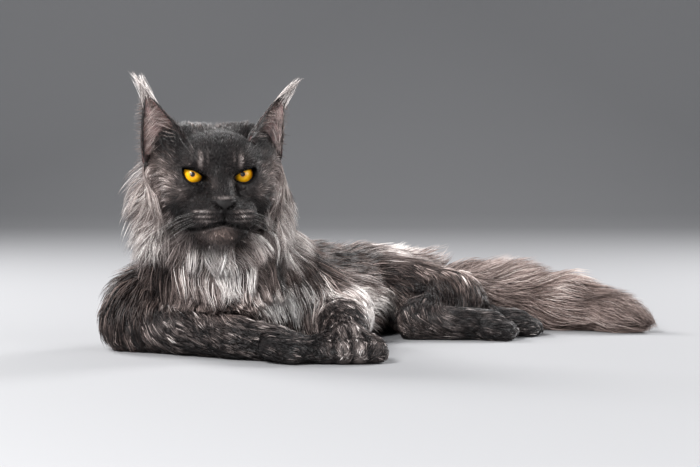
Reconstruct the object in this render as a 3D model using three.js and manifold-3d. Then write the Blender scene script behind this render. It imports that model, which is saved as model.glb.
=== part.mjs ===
// A life-size still model of a Maine Coon cat lying on a table: forequarters upright, hips rolled on
// the right side, hind feet out to the cat's left and the plume of the tail laid out behind them.
// Millimetres, +Z up. The cat is laid out on a stage frame whose X runs to the viewer's right and
// whose Y runs away from the viewer; the finished group is then centred over its own footprint.
import * as THREE from "three";
import { mergeVertices } from "three/addons/utils/BufferGeometryUtils.js";
import Module from "manifold-3d";

const wasm = await Module();
wasm.setup();
const { lerp, degToRad } = THREE.MathUtils;

// Driving dimensions
const EYE_SPACING = 50; // between the pupils
const EYEBALL_RADIUS = 11;
const HEAD_YAW = degToRad(11); // the face is turned to the viewer's right
const HEAD_AT = [-128.6, -45, 181]; // midpoint between the eyes
const EAR_CUP = 0.4; // how far the back of an ear stands behind its middle, in half widths
const EAR_BEND = { root: 1.45, tip: 0.75 }; // half the angle that the cup goes round
const EAR_TIP_HALF_WIDTH = 1.2;
const EAR_WALL = 2.6;
const EAR_TIP_WALL = 1.4;
const EAR_RIM_RISE = 7; // how much higher the rims start than the middle of the cup
const EAR_SUNK = 9; // depth of the ear's root in the head
const EARS = {
  right: {
    root: [-50, 31, 26],
    tip: [-67, 36, 81],
    facing: [-0.1, -1, 0.05],
    halfWidth: 27,
    tuft: [
      [-82, 38, 102],
      [-73, 38, 100],
    ],
  },
  left: {
    root: [47, 30, 27],
    tip: [78, 40, 79],
    facing: [0.62, -0.8, 0.1],
    halfWidth: 27,
    tuft: [
      [90, 43, 97],
      [84, 42, 93],
    ],
  },
};
const MOUTH = [[-31, -53], [-23, -51.5], [-11, -48.5], [0, -45.5], [11, -48.5], [23, -51.5], [31, -53]];
const MOUTH_SLIT = 1.2; // half the width of the mouth line
const PHILTRUM = [[0, -35], [0, -40], [0, -45]];
const PHILTRUM_SLIT = 0.9;
const NOSTRIL_SLIT = { inner: 2.1, outer: 0.8 };
const NOSTRIL = [[4.5, -31], [8, -30], [10.5, -28]]; // from the middle out and up, for one side
const PARTING = 0.35; // gap left between neighbouring pieces
const TOE_PLACES = [-1.5, -0.5, 0.5, 1.5]; // the four toes, counted out from the middle of the paw
const TOE_FAN = 0.09; // how much each toe turns out from the one beside it
const SLOPE_STEP = 0.5; // how far apart a field is read to find its slope
const FLOOR_SINK = 60; // depth of the slab that trims everything to the floor level
// The coat is a solid core, and locks that stand on it out to the coat's outline.
const THORAX_COAT = 22; // depth of the coat on the breast, shoulders and withers
const LOIN_COAT = 17;
const HAUNCH_COAT = 8;
const CORE_SHARE = 0.45; // share of the coat's depth that is solid
const LOCK_RINGS = 3; // stretches along a lock, where it bends
const LOCK_TAPER = [0.6, 1, 0.66, 0]; // its width and thickness from root to tip
const LOCK_RISE = 0.7; // under 1, a lock leaves the core faster than it nears the outline
const LOCK_TUCK = 2; // how much more its root hangs than the rest
const LOCK_PARTING = 0.5; // gap left round a lock
const ROOT_SUNK = 4; // depth of a lock's root in the core
const LOCK_FLOOR = 2.5; // the lowest that the middle of a lock hangs
const LOCKS = {
  cheek: { length: 46, width: 22, thick: 4, fall: 0.6, way: -0.7, seed: 2 },
  ruff: { length: 54, width: 27, thick: 5, fall: 0.25, seed: 3 },
  trunk: { length: 48, width: 28, thick: 5, fall: 0.3, seed: 5 },
  flank: { length: 46, width: 28, thick: 5, fall: 0.22, seed: 7 },
  haunch: { length: 34, width: 22, thick: 4, fall: 0.12, seed: 11 },
  tail: { length: 56, width: 26, thick: 5, fall: 0.03, seed: 13 },
  plume: { length: 60, width: 27, thick: 5, fall: 0.02, seed: 17 },
  earTuft: { width: 6, thick: 3.2 },
};
// How far one lock may differ from the next, as shares of its own size or of its row.
const STRAY = {
  turn: 0.15,
  place: 0.015,
  width: 0.2,
  thick: 0.15,
  length: 0.18,
  fall: 0.4,
  swirl: 0.15,
  reach: 0.04,
};
const COLOURS = {
  smoke: 0x4a4442,
  mask: 0x2b2827,
  silver: 0x8f8886,
  black: 0x1d1b1b,
  tail: 0x6f6461,
  ear: 0x7a6763,
  amber: 0xe0a010,
};

const point = (x, y, z) => new THREE.Vector3(x, y, z);
const UP = point(0, 0, 1);
const clamp01 = (t) => Math.min(1, Math.max(0, t));

// Fields: each gives the distance from a point to a form, negative inside.

/** A round bone with its flesh, from one joint to the next. */
function bone([ax, ay, az, ra], [bx, by, bz, rb]) {
  const start = point(ax, ay, az);
  const run = point(bx, by, bz).sub(start);
  const span = run.lengthSq();
  const from = point(0, 0, 0);
  return (p) => {
    from.subVectors(p, start);
    const t = clamp01(from.dot(run) / span);
    return from.addScaledVector(run, -t).length() - (ra + (rb - ra) * t);
  };
}

/** A rounded muscle or fat pad: an ellipsoid, tipped nose down by pitch degrees. */
function pad([cx, cy, cz], [rx, ry, rz], pitch = 0) {
  const c = Math.cos(degToRad(pitch));
  const s = Math.sin(degToRad(pitch));
  return (p) => {
    const [x, y, z] = [p.x - cx, p.y - cy, p.z - cz];
    const [u, v, w] = [x / rx, (y * c - z * s) / ry, (y * s + z * c) / rz];
    const k0 = Math.hypot(u, v, w);
    const k1 = Math.hypot(u / rx, v / ry, w / rz);
    return k1 < 1e-9 ? -Math.min(rx, ry, rz) : (k0 * (k0 - 1)) / k1;
  };
}

/** Joins fields into one form with soft creases of the given width. */
function melt(soft, fields) {
  return (p) => {
    let d = 1e9;
    for (const field of fields) {
      const e = field(p);
      const h = Math.max(soft - Math.abs(d - e), 0) / soft;
      d = Math.min(d, e) - (h * h * soft) / 4;
    }
    return d;
  };
}

/** The same field on both sides of the head's middle plane. */
const mirrored = (field) => {
  const q = point(0, 0, 0);
  return (p) => field(q.set(Math.abs(p.x), p.y, p.z));
};

/** Direction of steepest growth of a field, which is its surface normal. */
function slopeOf(field, p) {
  const q = p.clone();
  const along = (axis) => {
    q.copy(p)[axis] += SLOPE_STEP;
    const more = field(q);
    q[axis] -= 2 * SLOPE_STEP;
    return more - field(q);
  };
  return point(along("x"), along("y"), along("z")).normalize();
}

/** The first point outside a field along a ray, where the field reaches the given height. */
function surfaceAlong(field, from, direction, grow) {
  const p = point(0, 0, 0);
  const at = (s) => field(p.copy(from).addScaledVector(direction, s)) - grow;
  let [low, high] = [0, 1];
  while (at(high) < 0 && high < 220) [low, high] = [high, high + 1.5];
  for (let i = 0; i < 14; i++) {
    const middle = (low + high) / 2;
    if (at(middle) < 0) low = middle;
    else high = middle;
  }
  return from.clone().addScaledVector(direction, (low + high) / 2);
}

/** Place and directions at a share t of a centre line. */
function stationOn(line, t) {
  const forward = line.getTangent(t).normalize();
  const side = point(0, 0, 0).crossVectors(forward, UP).normalize();
  return { at: line.getPoint(t), forward, side, lift: side.clone().cross(forward) };
}

const lineThrough = (...points) => new THREE.CatmullRomCurve3(points.map(([x, y, z]) => point(x, y, z)));

/** Shared vertices merged, and faces that collapse at a pole dropped. */
function weld(geometry) {
  geometry.deleteAttribute("normal");
  geometry.deleteAttribute("uv");
  const merged = mergeVertices(geometry, 1e-4);
  const kept = [];
  const index = merged.index.array;
  for (let i = 0; i < index.length; i += 3) {
    const [a, b, c] = index.slice(i, i + 3);
    if (a !== b && b !== c && c !== a) kept.push(a, b, c);
  }
  merged.setIndex(kept);
  return merged;
}

/** A welded geometry moved point by point, as a solid. */
function shaped(geometry, move) {
  const merged = weld(geometry);
  const position = merged.attributes.position;
  for (let i = 0; i < position.count; i++) {
    const p = move(point(0, 0, 0).fromBufferAttribute(position, i));
    position.setXYZ(i, p.x, p.y, p.z);
  }
  return solidFrom(merged);
}

/** A closed geometry as a solid that can be joined and cut. A mirrored one has its faces turned back. */
function solidFrom(merged) {
  const solidOf = (triVerts) =>
    new wasm.Manifold(
      new wasm.Mesh({
        numProp: 3,
        vertProperties: new Float32Array(merged.attributes.position.array),
        triVerts,
      }),
    );
  const corners = new Uint32Array(merged.index.array);
  const made = solidOf(corners);
  return made.volume() < 0 ? solidOf(corners.reverse()) : made;
}

/** A unit capsule whose two caps and middle can have different numbers of rings. */
function unitCapsule({ around, caps, rows, front = caps }) {
  const outline = [];
  for (let i = 0; i < caps; i++) {
    const turn = (i / caps) * (Math.PI / 2);
    outline.push(new THREE.Vector2(Math.sin(turn), -1 - Math.cos(turn)));
  }
  for (let i = 0; i < rows; i++) outline.push(new THREE.Vector2(1, (2 * i) / rows - 1));
  for (let i = 0; i <= front; i++) {
    const turn = (i / front) * (Math.PI / 2);
    outline.push(new THREE.Vector2(i === front ? 0 : Math.cos(turn), 1 + Math.sin(turn)));
  }
  return new THREE.LatheGeometry(outline, around);
}

/** A capsule drawn out along a centre line and pushed out to the surface of a field. */
function wrap(field, line, { grow = 0, room = 0, ...mesh }) {
  return shaped(unitCapsule(mesh), (v) => {
    const level = Math.min(1, Math.max(-1, v.y));
    const s = stationOn(line, (level + 1) / 2);
    const direction = point(0, 0, 0)
      .addScaledVector(s.side, v.x)
      .addScaledVector(s.forward, v.y - level)
      .addScaledVector(s.lift, v.z)
      .normalize();
    const at = surfaceAlong(field, s.at, direction, grow);
    return at.addScaledVector(slopeOf(field, at), room);
  });
}

/** A round cord along a line, its thickness given for each share of the length. */
function cord(line, radiusAt, { around = 5, rows = 10 } = {}) {
  return shaped(new THREE.CapsuleGeometry(1, 2, 2, around, rows), (v) => {
    const level = Math.min(1, Math.max(-1, v.y));
    const t = (level + 1) / 2;
    const s = stationOn(line, t);
    return s.at
      .addScaledVector(s.side, v.x * radiusAt(t))
      .addScaledVector(s.forward, (v.y - level) * radiusAt(t))
      .addScaledVector(s.lift, v.z * radiusAt(t));
  });
}

const joined = (solids) => solids.reduce((sum, solid) => sum.add(solid));
const carved = (solid, ...tools) => tools.reduce((rest, tool) => rest.subtract(tool), solid);
const largest = (solid) =>
  solid.decompose().reduce((best, body) => (body.volume() > best.volume() ? body : best));

// The head, in its own frame: x to the cat's left, -y ahead, z up, from the point between the eyes.
const headToStage = new THREE.Matrix4()
  .makeRotationZ(HEAD_YAW)
  .setPosition(...HEAD_AT);
const stageToHead = headToStage.clone().invert();
const fromHead = (x, y, z) => point(x, y, z).applyMatrix4(headToStage);
const inHeadFrame = (field) => {
  const q = point(0, 0, 0);
  return (p) => field(q.copy(p).applyMatrix4(stageToHead));
};

const eyeSpot = [EYE_SPACING / 2, EYEBALL_RADIUS - 1.5, 0];
const headForm = melt(9, [
  pad([0, 40, 13], [47, 50, 37]), // cranium
  pad([0, 46, 24], [54, 28, 29]), // fur between the ears
  mirrored(pad([38, 34, 4], [27, 30, 28])), // temples
  pad([0, 10, 22], [38, 26, 22]), // forehead
  mirrored(pad([19, 0, 14], [16, 12, 8.5])), // brow
  mirrored(pad([32, 22, -17], [25, 34, 30])), // cheek
  mirrored(pad([34, 5, -11], [17, 14, 13])), // cheekbone
  bone([0, 2, 4, 14], [0, -26, -24, 12]), // bridge of the nose
  pad([0, -34, -29], [13, 8, 7.5]), // nose leather
  mirrored(pad([16, -19, -39], [18.5, 17, 12.5])), // whisker pads
  pad([0, -8, -36], [31, 22, 18]), // muzzle
  pad([0, -18, -56], [19, 13.5, 12.5]), // chin
  pad([0, 10, -46], [33, 33, 22]), // lower jaw
]);
const lids = mirrored(pad(eyeSpot, [EYEBALL_RADIUS + 2, EYEBALL_RADIUS + 2, EYEBALL_RADIUS + 2]));
const headField = inHeadFrame(melt(4, [headForm, lids]));
const headLine = lineThrough(
  fromHead(0, 46, 8).toArray(),
  fromHead(0, 16, -8).toArray(),
  fromHead(0, -14, -36).toArray(),
);
const HEAD_MESH = { around: 32, caps: 4, rows: 6, front: 11 };

/** A line laid on the face, its points given by place across and height. */
function lineOnFace(spots, depth = 0) {
  const places = spots.map(([x, z]) => {
    const skin = surfaceAlong(headForm, point(x * 0.4, 0, z), point(x * 0.6, -60, 0).normalize(), -depth);
    return fromHead(skin.x, skin.y, skin.z).toArray();
  });
  return lineThrough(...places);
}

/** A head with open eyelids and sockets behind them, a mouth line, a philtrum and nostrils. */
function makeHead() {
  const bare = wrap(headField, headLine, HEAD_MESH);
  const tools = [
    cord(lineOnFace(MOUTH), () => MOUTH_SLIT, { around: 3, rows: 8 }),
    cord(lineOnFace(PHILTRUM), () => PHILTRUM_SLIT, { around: 3, rows: 2 }),
  ];
  const flare = (t) => lerp(NOSTRIL_SLIT.inner, NOSTRIL_SLIT.outer, t);
  for (const hand of [-1, 1]) {
    const nostril = lineOnFace(NOSTRIL.map(([x, z]) => [hand * x, z]));
    tools.push(eyeball(hand, PARTING), lidOpening(hand), cord(nostril, flare, { around: 4, rows: 3 }));
  }
  return largest(carved(bare, ...tools));
}

/** One eyeball, or with room to spare the socket that holds it. */
function eyeball(hand, room = 0) {
  const centre = fromHead(hand * eyeSpot[0], eyeSpot[1], eyeSpot[2]);
  const radius = EYEBALL_RADIUS + room;
  return shaped(new THREE.SphereGeometry(radius, 14, 9), (v) => v.add(centre));
}

/** The almond gap between the lids, slanting down to the inner corner. */
function lidOpening(hand) {
  const almond = new THREE.Shape();
  almond.moveTo(-10.5, -3.5);
  almond.quadraticCurveTo(0, 2.6, 10, 4.6);
  almond.quadraticCurveTo(9, -2.4, 3, -6.2);
  almond.quadraticCurveTo(-3, -8.6, -10.5, -3.5);
  const block = new THREE.ExtrudeGeometry(almond, { depth: 30, bevelEnabled: false, curveSegments: 4 });
  return shaped(block, (v) => fromHead(hand * (eyeSpot[0] + v.x), eyeSpot[1] - 2 - v.z, v.y + 1.2));
}

/** Where an ear stands and which way it points and faces. Its spine is the line up its back. */
function earFrame({ root, tip, facing, halfWidth }) {
  const base = fromHead(...root);
  const up = fromHead(...tip).sub(base);
  const height = up.length();
  up.normalize();
  const face = fromHead(...facing).sub(fromHead(0, 0, 0));
  face.addScaledVector(up, -face.dot(up)).normalize();
  const spine = (rise) =>
    base.clone().addScaledVector(up, height * rise).addScaledVector(face, -halfWidth * EAR_CUP);
  return { up, face, across: up.clone().cross(face), spine };
}

/** The cupped sheet of one ear, from its root in the head to its tip. Room thickens it. */
function makeEar(ear, room = 0) {
  const { up, face, across, spine } = earFrame(ear);
  return shaped(new THREE.BoxGeometry(1, 1, 1, 8, 6, 1), (v) => {
    const [u, rise] = [v.x * 2, v.y + 0.5];
    const narrowing = (1 - rise) ** 1.05 * lerp(0.86, 1.36, rise);
    const half = ear.halfWidth * narrowing + EAR_TIP_HALF_WIDTH + room;
    const bend = lerp(EAR_BEND.root, EAR_BEND.tip, rise);
    const wall = lerp(EAR_WALL, EAR_TIP_WALL, rise) + 2 * room;
    const middle = half / Math.sin(bend);
    const radius = middle + v.z * wall;
    return spine(rise)
      .addScaledVector(up, EAR_RIM_RISE * (1 - rise) ** 2 * u * u - EAR_SUNK * (1 - rise))
      .addScaledVector(across, radius * Math.sin(u * bend))
      .addScaledVector(face, middle - radius * Math.cos(u * bend));
  });
}

/** Four toes side by side at the end of a foot that points along heading degrees. */
function toes([x, y, z], heading, { spread, radius, reach }, room = 0) {
  const turn = degToRad(heading);
  const ahead = [Math.cos(turn), Math.sin(turn)];
  return TOE_PLACES.map((place) => {
    const fan = place * TOE_FAN;
    const [dx, dy] = [ahead[0] - ahead[1] * fan, ahead[1] + ahead[0] * fan];
    const [sx, sy] = [x - ahead[1] * place * spread, y + ahead[0] * place * spread];
    const length = reach * (Math.abs(place) < 1 ? 1 : 0.82);
    const knuckle = point(sx, sy, z);
    const run = point(sx + dx * length, sy + dy * length, radius - 1.5).sub(knuckle);
    const side = point(-dy, dx, 0).normalize();
    const lift = run.clone().normalize().cross(side).negate();
    return shaped(new THREE.CapsuleGeometry(radius + room, run.length(), 2, 8, 1), (v) => {
      const along = v.y / run.length() + 0.5;
      return knuckle
        .clone()
        .addScaledVector(run, along)
        .addScaledVector(side, v.x)
        .addScaledVector(lift, v.z);
    });
  });
}

const neckField = melt(16, [
  bone([-143, 22, 160, 33], [-124, 64, 106, 38]), // nape
  bone([-138, 2, 124, 30], [-128, 0, 76, 36]), // throat
]);
const ruffField = melt(24, [
  pad([-148, 26, 140], [90, 46, 58]), // the sides, fullest under the cheeks
  pad([-192, 32, 172], [33, 34, 33]), // behind the right ear
  pad([-107, 32, 172], [33, 34, 33]), // behind the left ear
  pad([-142, 2, 102], [88, 68, 62]), // the bib
  bone([-146, 26, 156, 46], [-124, 70, 108, 52]), // the nape
]);
const neckLine = lineThrough([-144, 24, 176], [-138, 18, 140], [-130, 8, 88]);
const thoraxField = melt(22, [
  bone([-124, 10, 56, 40], [-118, 70, 56, 57]), // breast
  bone([-118, 70, 56, 57], [-95, 150, 48, 51]), // ribs
  bone([-118, 80, 78, 44], [-100, 140, 66, 38]), // withers
  bone([-160, 66, 70, 38], [-212, 50, 38, 34]), // right shoulder
  bone([-74, 80, 70, 36], [-20, 80, 34, 28]), // left shoulder
]);
const thoraxLine = lineThrough([-122, 22, 56], [-116, 80, 56], [-104, 132, 50]);
const loinField = melt(22, [
  bone([-95, 150, 48, 51], [-45, 215, 42, 45]), // ribs
  bone([-45, 215, 42, 45], [15, 270, 40, 43]), // loin
  bone([15, 270, 40, 43], [58, 300, 38, 40]), // hips
  bone([-62, 130, 36, 38], [0, 205, 32, 35]), // belly
]);
const loinLine = lineThrough([-88, 158, 45], [-35, 220, 40], [48, 292, 38]);
const RIBS_PART = 152; // how far back the trunk is parted behind the ribs

// Each haunch is a thigh and a shank, whose ends are joint places with the flesh's radius.
const HAUNCHES = {
  left: [
    [[34, 262, 44, 42], [112, 222, 34, 30]],
    [[112, 222, 30, 27], [74, 172, 20, 20]],
  ],
  right: [
    [[58, 296, 32, 34], [122, 252, 24, 25]],
    [[122, 252, 22, 23], [112, 226, 16, 17]],
  ],
};
const haunchField = (parts) => melt(18, parts.map(([from, to]) => bone(from, to)));
const hindFootLeft = melt(10, [
  bone([72, 166, 16, 18], [112, 161, 16, 17]),
  bone([112, 161, 16, 17], [150, 159, 14, 17]),
]);
const hindFootRight = melt(10, [
  bone([108, 222, 15, 17], [150, 213, 14, 16]),
  bone([150, 213, 14, 16], [182, 208, 13, 15]),
]);
const forelegRight = melt(12, [
  bone([-218, 44, 27, 27], [-160, -6, 26, 24]), // forearm
  bone([-160, -6, 26, 24], [-112, -46, 21, 19]),
  bone([-112, -46, 20, 19], [-72, -66, 17, 19]), // wrist and palm
]);
const forelegLeft = melt(12, [
  bone([-12, 84, 30, 29], [-7, 10, 27, 24]),
  bone([-7, 10, 27, 24], [-4, -36, 23, 20]),
  bone([-4, -36, 21, 20], [-3, -68, 17, 21]),
]);
const TOES = {
  hindLeft: [[146, 159, 13], 2, { spread: 10, radius: 10, reach: 22 }],
  hindRight: [[178, 208, 12], -4, { spread: 9, radius: 9, reach: 21 }],
  foreRight: [[-70, -70, 16], -24, { spread: 11, radius: 11.5, reach: 32 }],
  foreLeft: [[-2, -68, 16], -84, { spread: 14, radius: 12, reach: 28 }],
};

/** The tail let out by a share of its own coat, which is deepest beyond the root. */
const tailField = (thick) =>
  melt(14, [
    bone([66, 310, 36, thick(22, 52)], [128, 318, 34, thick(12, 46)]),
    bone([128, 318, 34, thick(12, 46)], [190, 308, 32, thick(10, 43)]),
    bone([190, 308, 32, thick(10, 43)], [248, 280, 26, thick(8, 39)]),
    bone([248, 280, 26, thick(8, 41)], [304, 248, 16, thick(5, 35)]),
  ]);
const TAIL_PART = 0.48; // share of the tail's line where it is parted
const tailLine = lineThrough([80, 312, 36], [128, 318, 34], [190, 308, 32], [248, 280, 26], [296, 252, 17]);

/** A coat, from the skin out to the outline that its tips reach. */
const coatOver = (skin, depth) => ({ skin, outline: (p) => skin(p) - depth, core: CORE_SHARE });
const COATS = {
  cheeks: { skin: headField, outline: melt(20, [(p) => headField(p) - 8, ruffField]), core: 0 },
  neck: { skin: neckField, outline: ruffField, core: 0.5 },
  thorax: coatOver(thoraxField, THORAX_COAT),
  loin: coatOver(loinField, LOIN_COAT),
  thighLeft: coatOver(haunchField(HAUNCHES.left), HAUNCH_COAT),
  thighRight: coatOver(haunchField(HAUNCHES.right), HAUNCH_COAT),
  tail: {
    skin: tailField((skin) => skin),
    outline: tailField((skin, outline) => outline),
    core: CORE_SHARE,
  },
};
/** The surface at a share of a coat's depth: 0 at the skin, 1 at its outline. */
const within = ({ skin, outline }, share) => (p) => lerp(skin(p), outline(p), share);
const coreOf = (coat) => within(coat, coat.core);

const RUFF_MESH = { around: 14, caps: 3, rows: 4 };
const TRUNK_MESH = { around: 14, caps: 3, rows: 4 };
const THIGH_MESH = { around: 10, caps: 2, rows: 3 };
const LIMB_MESH = { around: 12, caps: 3, rows: 6 };
const TAIL_MESH = { around: 10, caps: 2, rows: 7 };

/** A plain block, for trimming. */
const slab = (size, centre) =>
  shaped(new THREE.BoxGeometry(...size), (v) => v.add(point(...centre)));
const floorSlab = slab([1200, 1200, FLOOR_SINK], [0, 100, -FLOOR_SINK / 2]);

/** A piece with its finished outline and the same outline let out by the parting gap. */
function flesh(field, line, mesh, grow = 0) {
  return {
    made: wrap(field, line, { ...mesh, grow }),
    room: wrap(field, line, { ...mesh, grow, room: PARTING }),
  };
}


const core = (coat, line, mesh) => flesh(coreOf(coat), line, mesh);

/** A lower leg with its four toes joined on. */
function foot(field, line, [knuckles, heading, sizes]) {
  const leg = flesh(field, line, LIMB_MESH, 1.5);
  return {
    made: joined([leg.made, ...toes(knuckles, heading, sizes)]),
    room: joined([leg.room, ...toes(knuckles, heading, sizes, PARTING)]),
  };
}

/** A thigh and its shank joined, each drawn out along its own bone. */
function haunchCore(parts) {
  const halves = parts.map(([from, to]) =>
    core(coatOver(bone(from, to), HAUNCH_COAT), lineThrough(from, to), THIGH_MESH),
  );
  return { made: joined(halves.map(({ made }) => made)), room: joined(halves.map(({ room }) => room)) };
}

const headRoom = wrap(headField, headLine, { ...HEAD_MESH, room: PARTING });
const neckCore = core(COATS.neck, neckLine, RUFF_MESH);
const thoraxCore = core(COATS.thorax, thoraxLine, TRUNK_MESH);
const loinCore = core(COATS.loin, loinLine, TRUNK_MESH);
const thighLeftLine = lineThrough([46, 256, 42], [106, 224, 34], [82, 182, 22]);
const thighLeftCore = haunchCore(HAUNCHES.left);
const thighRightCore = haunchCore(HAUNCHES.right);
const tailCore = core(COATS.tail, tailLine, TAIL_MESH);
const FOOT_LINES = {
  hindLeft: lineThrough([80, 165, 15], [118, 161, 15], [148, 159, 13]),
  hindRight: lineThrough([116, 220, 14], [150, 213, 13], [180, 208, 12]),
  foreRight: lineThrough([-208, 40, 26], [-150, -14, 25], [-78, -64, 17]),
  foreLeft: lineThrough([-11, 76, 28], [-6, 0, 26], [-3, -66, 16]),
};
const footLeft = foot(hindFootLeft, FOOT_LINES.hindLeft, TOES.hindLeft);
const footRight = foot(hindFootRight, FOOT_LINES.hindRight, TOES.hindRight);
const armRight = foot(forelegRight, FOOT_LINES.foreRight, TOES.foreRight);
const armLeft = foot(forelegLeft, FOOT_LINES.foreLeft, TOES.foreLeft);

const tailParting = stationOn(tailLine, TAIL_PART);
/** A block on the root side (-1) or the tip side (1) of the tail's parting. */
function tailHalf(side) {
  return shaped(new THREE.BoxGeometry(400, 400, 400), (v) =>
    tailParting.at
      .clone()
      .addScaledVector(tailParting.side, v.x)
      .addScaledVector(tailParting.lift, v.z)
      .addScaledVector(tailParting.forward, v.y + side * (200 - PARTING / 2)),
  );
}
/** A block behind (1) or ahead (-1) of the parting of the trunk. */
const behindRibs = (way) => slab([900, 600, 500], [0, RIBS_PART + way * (300 - PARTING / 2), 100]);

const earRight = makeEar(EARS.right);
const earLeft = makeEar(EARS.left);
const earRooms = [makeEar(EARS.right, PARTING), makeEar(EARS.left, PARTING)];

// The long coat

/** A random number maker that gives the same numbers every time. */
function seeded(seed) {
  let state = seed;
  return () => {
    state = (state * 1664525 + 1013904223) % 4294967296;
    return state / 4294967296;
  };
}

/** The bent path of a lock, from a root sunk in the core along its lie to the coat's outline. */
function lockPath(coat, root, lie, { length, fall, swirl, reach }) {
  const place = root.clone();
  const heading = lie.clone();
  const path = [];
  for (let ring = 0; ring <= LOCK_RINGS; ring++) {
    const t = ring / LOCK_RINGS;
    const level = within(coat, lerp(coat.core, reach, t ** LOCK_RISE));
    const sunk = ring === 0 ? ROOT_SUNK : 0;
    const normal = slopeOf(level, place);
    place.addScaledVector(normal, -level(place) - sunk);
    place.z = Math.max(place.z, LOCK_FLOOR);
    path.push({ at: place.clone(), normal });
    heading.addScaledVector(UP, -fall).addScaledVector(point(0, 0, 0).crossVectors(normal, heading), swirl);
    heading.addScaledVector(normal, -heading.dot(normal)).normalize();
    place.addScaledVector(normal, sunk).addScaledVector(heading, length / LOCK_RINGS);
  }
  return path;
}

/** A flat tapered lock along its path, or with room to spare the gap it takes in its neighbours. */
function lockSolid(path, { width, thick }, room = 0) {
  const outline = [new THREE.Vector2(0, 0)];
  for (let ring = 0; ring < LOCK_RINGS; ring++) outline.push(new THREE.Vector2(1, ring));
  outline.push(new THREE.Vector2(0, LOCK_RINGS));
  return shaped(new THREE.LatheGeometry(outline, 4), (v) => {
    const ring = Math.round(v.y);
    const { at, normal } = path[ring];
    const before = path[Math.max(0, ring - 1)].at;
    const after = path[Math.min(LOCK_RINGS, ring + 1)].at;
    const along = after.clone().sub(before).normalize();
    const across = along.clone().cross(normal).normalize();
    const over = across.clone().cross(along);
    const [a, b] = [(width / 2) * LOCK_TAPER[ring], (thick / 2) * LOCK_TAPER[ring]];
    const letOut = room ? 1 + (room * Math.hypot(a, b)) / Math.max(a * b, 0.2) : 1;
    return at
      .clone()
      .addScaledVector(along, ring === LOCK_RINGS ? 3 * room : 0)
      .addScaledVector(across, v.x * a * letOut)
      .addScaledVector(over, v.z * b * letOut);
  });
}

/** Staggered rows of locks round a coat, left out where the root would be blocked. */
function plant(coat, line, kind, rows, blocked = () => false) {
  const random = seeded(kind.seed);
  const about = (value, share) => value * (1 + share * (2 * random() - 1));
  const astray = (most) => most * (2 * random() - 1);
  const made = [];
  const rooms = [];
  rows.forEach(({ at, lean = 0, from, to, count }, row) => {
    for (let k = 0; k < count; k++) {
      const stagger = 0.25 + 0.5 * (row % 2) + astray(STRAY.turn);
      const turn = degToRad(lerp(from, to, (k + stagger) / count));
      const s = stationOn(line, clamp01(at + astray(STRAY.place)));
      const direction = point(0, 0, 0)
        .addScaledVector(s.side, Math.cos(turn))
        .addScaledVector(s.lift, Math.sin(turn))
        .addScaledVector(s.forward, lean)
        .normalize();
      const root = surfaceAlong(coreOf(coat), s.at, direction, 0);
      const size = { width: about(kind.width, STRAY.width), thick: about(kind.thick, STRAY.thick) };
      const bend = {
        length: about(kind.length, STRAY.length),
        fall: about(kind.fall, STRAY.fall),
        swirl: astray(STRAY.swirl),
        reach: about(1, STRAY.reach),
      };
      if (root.z < LOCK_FLOOR || blocked(root)) continue;
      const normal = slopeOf(coreOf(coat), root);
      const lie = s.forward.clone().multiplyScalar(kind.way ?? 1);
      lie.addScaledVector(UP, -kind.fall * LOCK_TUCK);
      lie.addScaledVector(normal, -lie.dot(normal)).normalize();
      const path = lockPath(coat, root, lie, bend);
      if (blocked(path[1].at)) continue;
      made.push(lockSolid(path, size));
      rooms.push(lockSolid(path, size, LOCK_PARTING));
    }
  });
  return { made, rooms };
}

const near = (field, margin) => (p) => field(p) < margin;
const either = (...tests) => (p) => tests.some((test) => test(p));
const nearHead = near(headField, 5);
const nearArms = either(near(forelegRight, 6), near(forelegLeft, 6));
const nearThighs = either(near(coreOf(COATS.thighLeft), 3), near(coreOf(COATS.thighRight), 3));
const cheeks = plant(COATS.cheeks, headLine, LOCKS.cheek, [
  { at: 0.5, from: -62, to: -6, count: 2 },
  { at: 0.5, from: 186, to: 242, count: 2 },
  { at: 0.1, from: -46, to: 16, count: 2 },
  { at: 0.1, from: 164, to: 226, count: 2 },
]);
const ruff = plant(COATS.neck, neckLine, LOCKS.ruff, [
  { at: 0, lean: -0.4, from: 60, to: 300, count: 6 },
  { at: 0.1, from: 0, to: 360, count: 11 },
  { at: 0.35, from: 0, to: 360, count: 11 },
  { at: 0.58, from: 0, to: 360, count: 12 },
  { at: 0.72, from: -70, to: 100, count: 5 },
  { at: 0.9, from: 0, to: 360, count: 11 },
  { at: 1, lean: 0.3, from: -80, to: 100, count: 5 },
], either(near(headField, 3), nearArms, near(coreOf(COATS.thorax), -3)));
const shoulders = plant(COATS.thorax, thoraxLine, LOCKS.trunk, [
  { at: 0.05, from: 150, to: 200, count: 2 },
  { at: 0.16, from: -15, to: 205, count: 8 },
  { at: 0.4, from: -15, to: 205, count: 7 },
  { at: 0.68, from: -15, to: 205, count: 7 },
  { at: 0.95, from: -15, to: 205, count: 7 },
], either(nearHead, nearArms, near(coreOf(COATS.neck), 3), (p) => p.y > RIBS_PART - 6));
const back = plant(COATS.loin, loinLine, LOCKS.flank, [
  { at: 0.12, from: -15, to: 195, count: 7 },
  { at: 0.37, from: -15, to: 195, count: 7 },
  { at: 0.62, from: 20, to: 195, count: 6 },
  { at: 0.87, from: 30, to: 195, count: 5 },
], either(nearThighs, (p) => p.y < RIBS_PART + 4));
const britchesLeft = plant(COATS.thighLeft, thighLeftLine, LOCKS.haunch, [
  { at: 0.2, from: -20, to: 120, count: 3 },
  { at: 0.45, from: -20, to: 120, count: 3 },
  { at: 0.7, from: -20, to: 120, count: 2 },
], either(near(coreOf(COATS.loin), 4), near(hindFootLeft, 4)));
const nearHips = either(nearThighs, near(coreOf(COATS.loin), 2));
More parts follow.
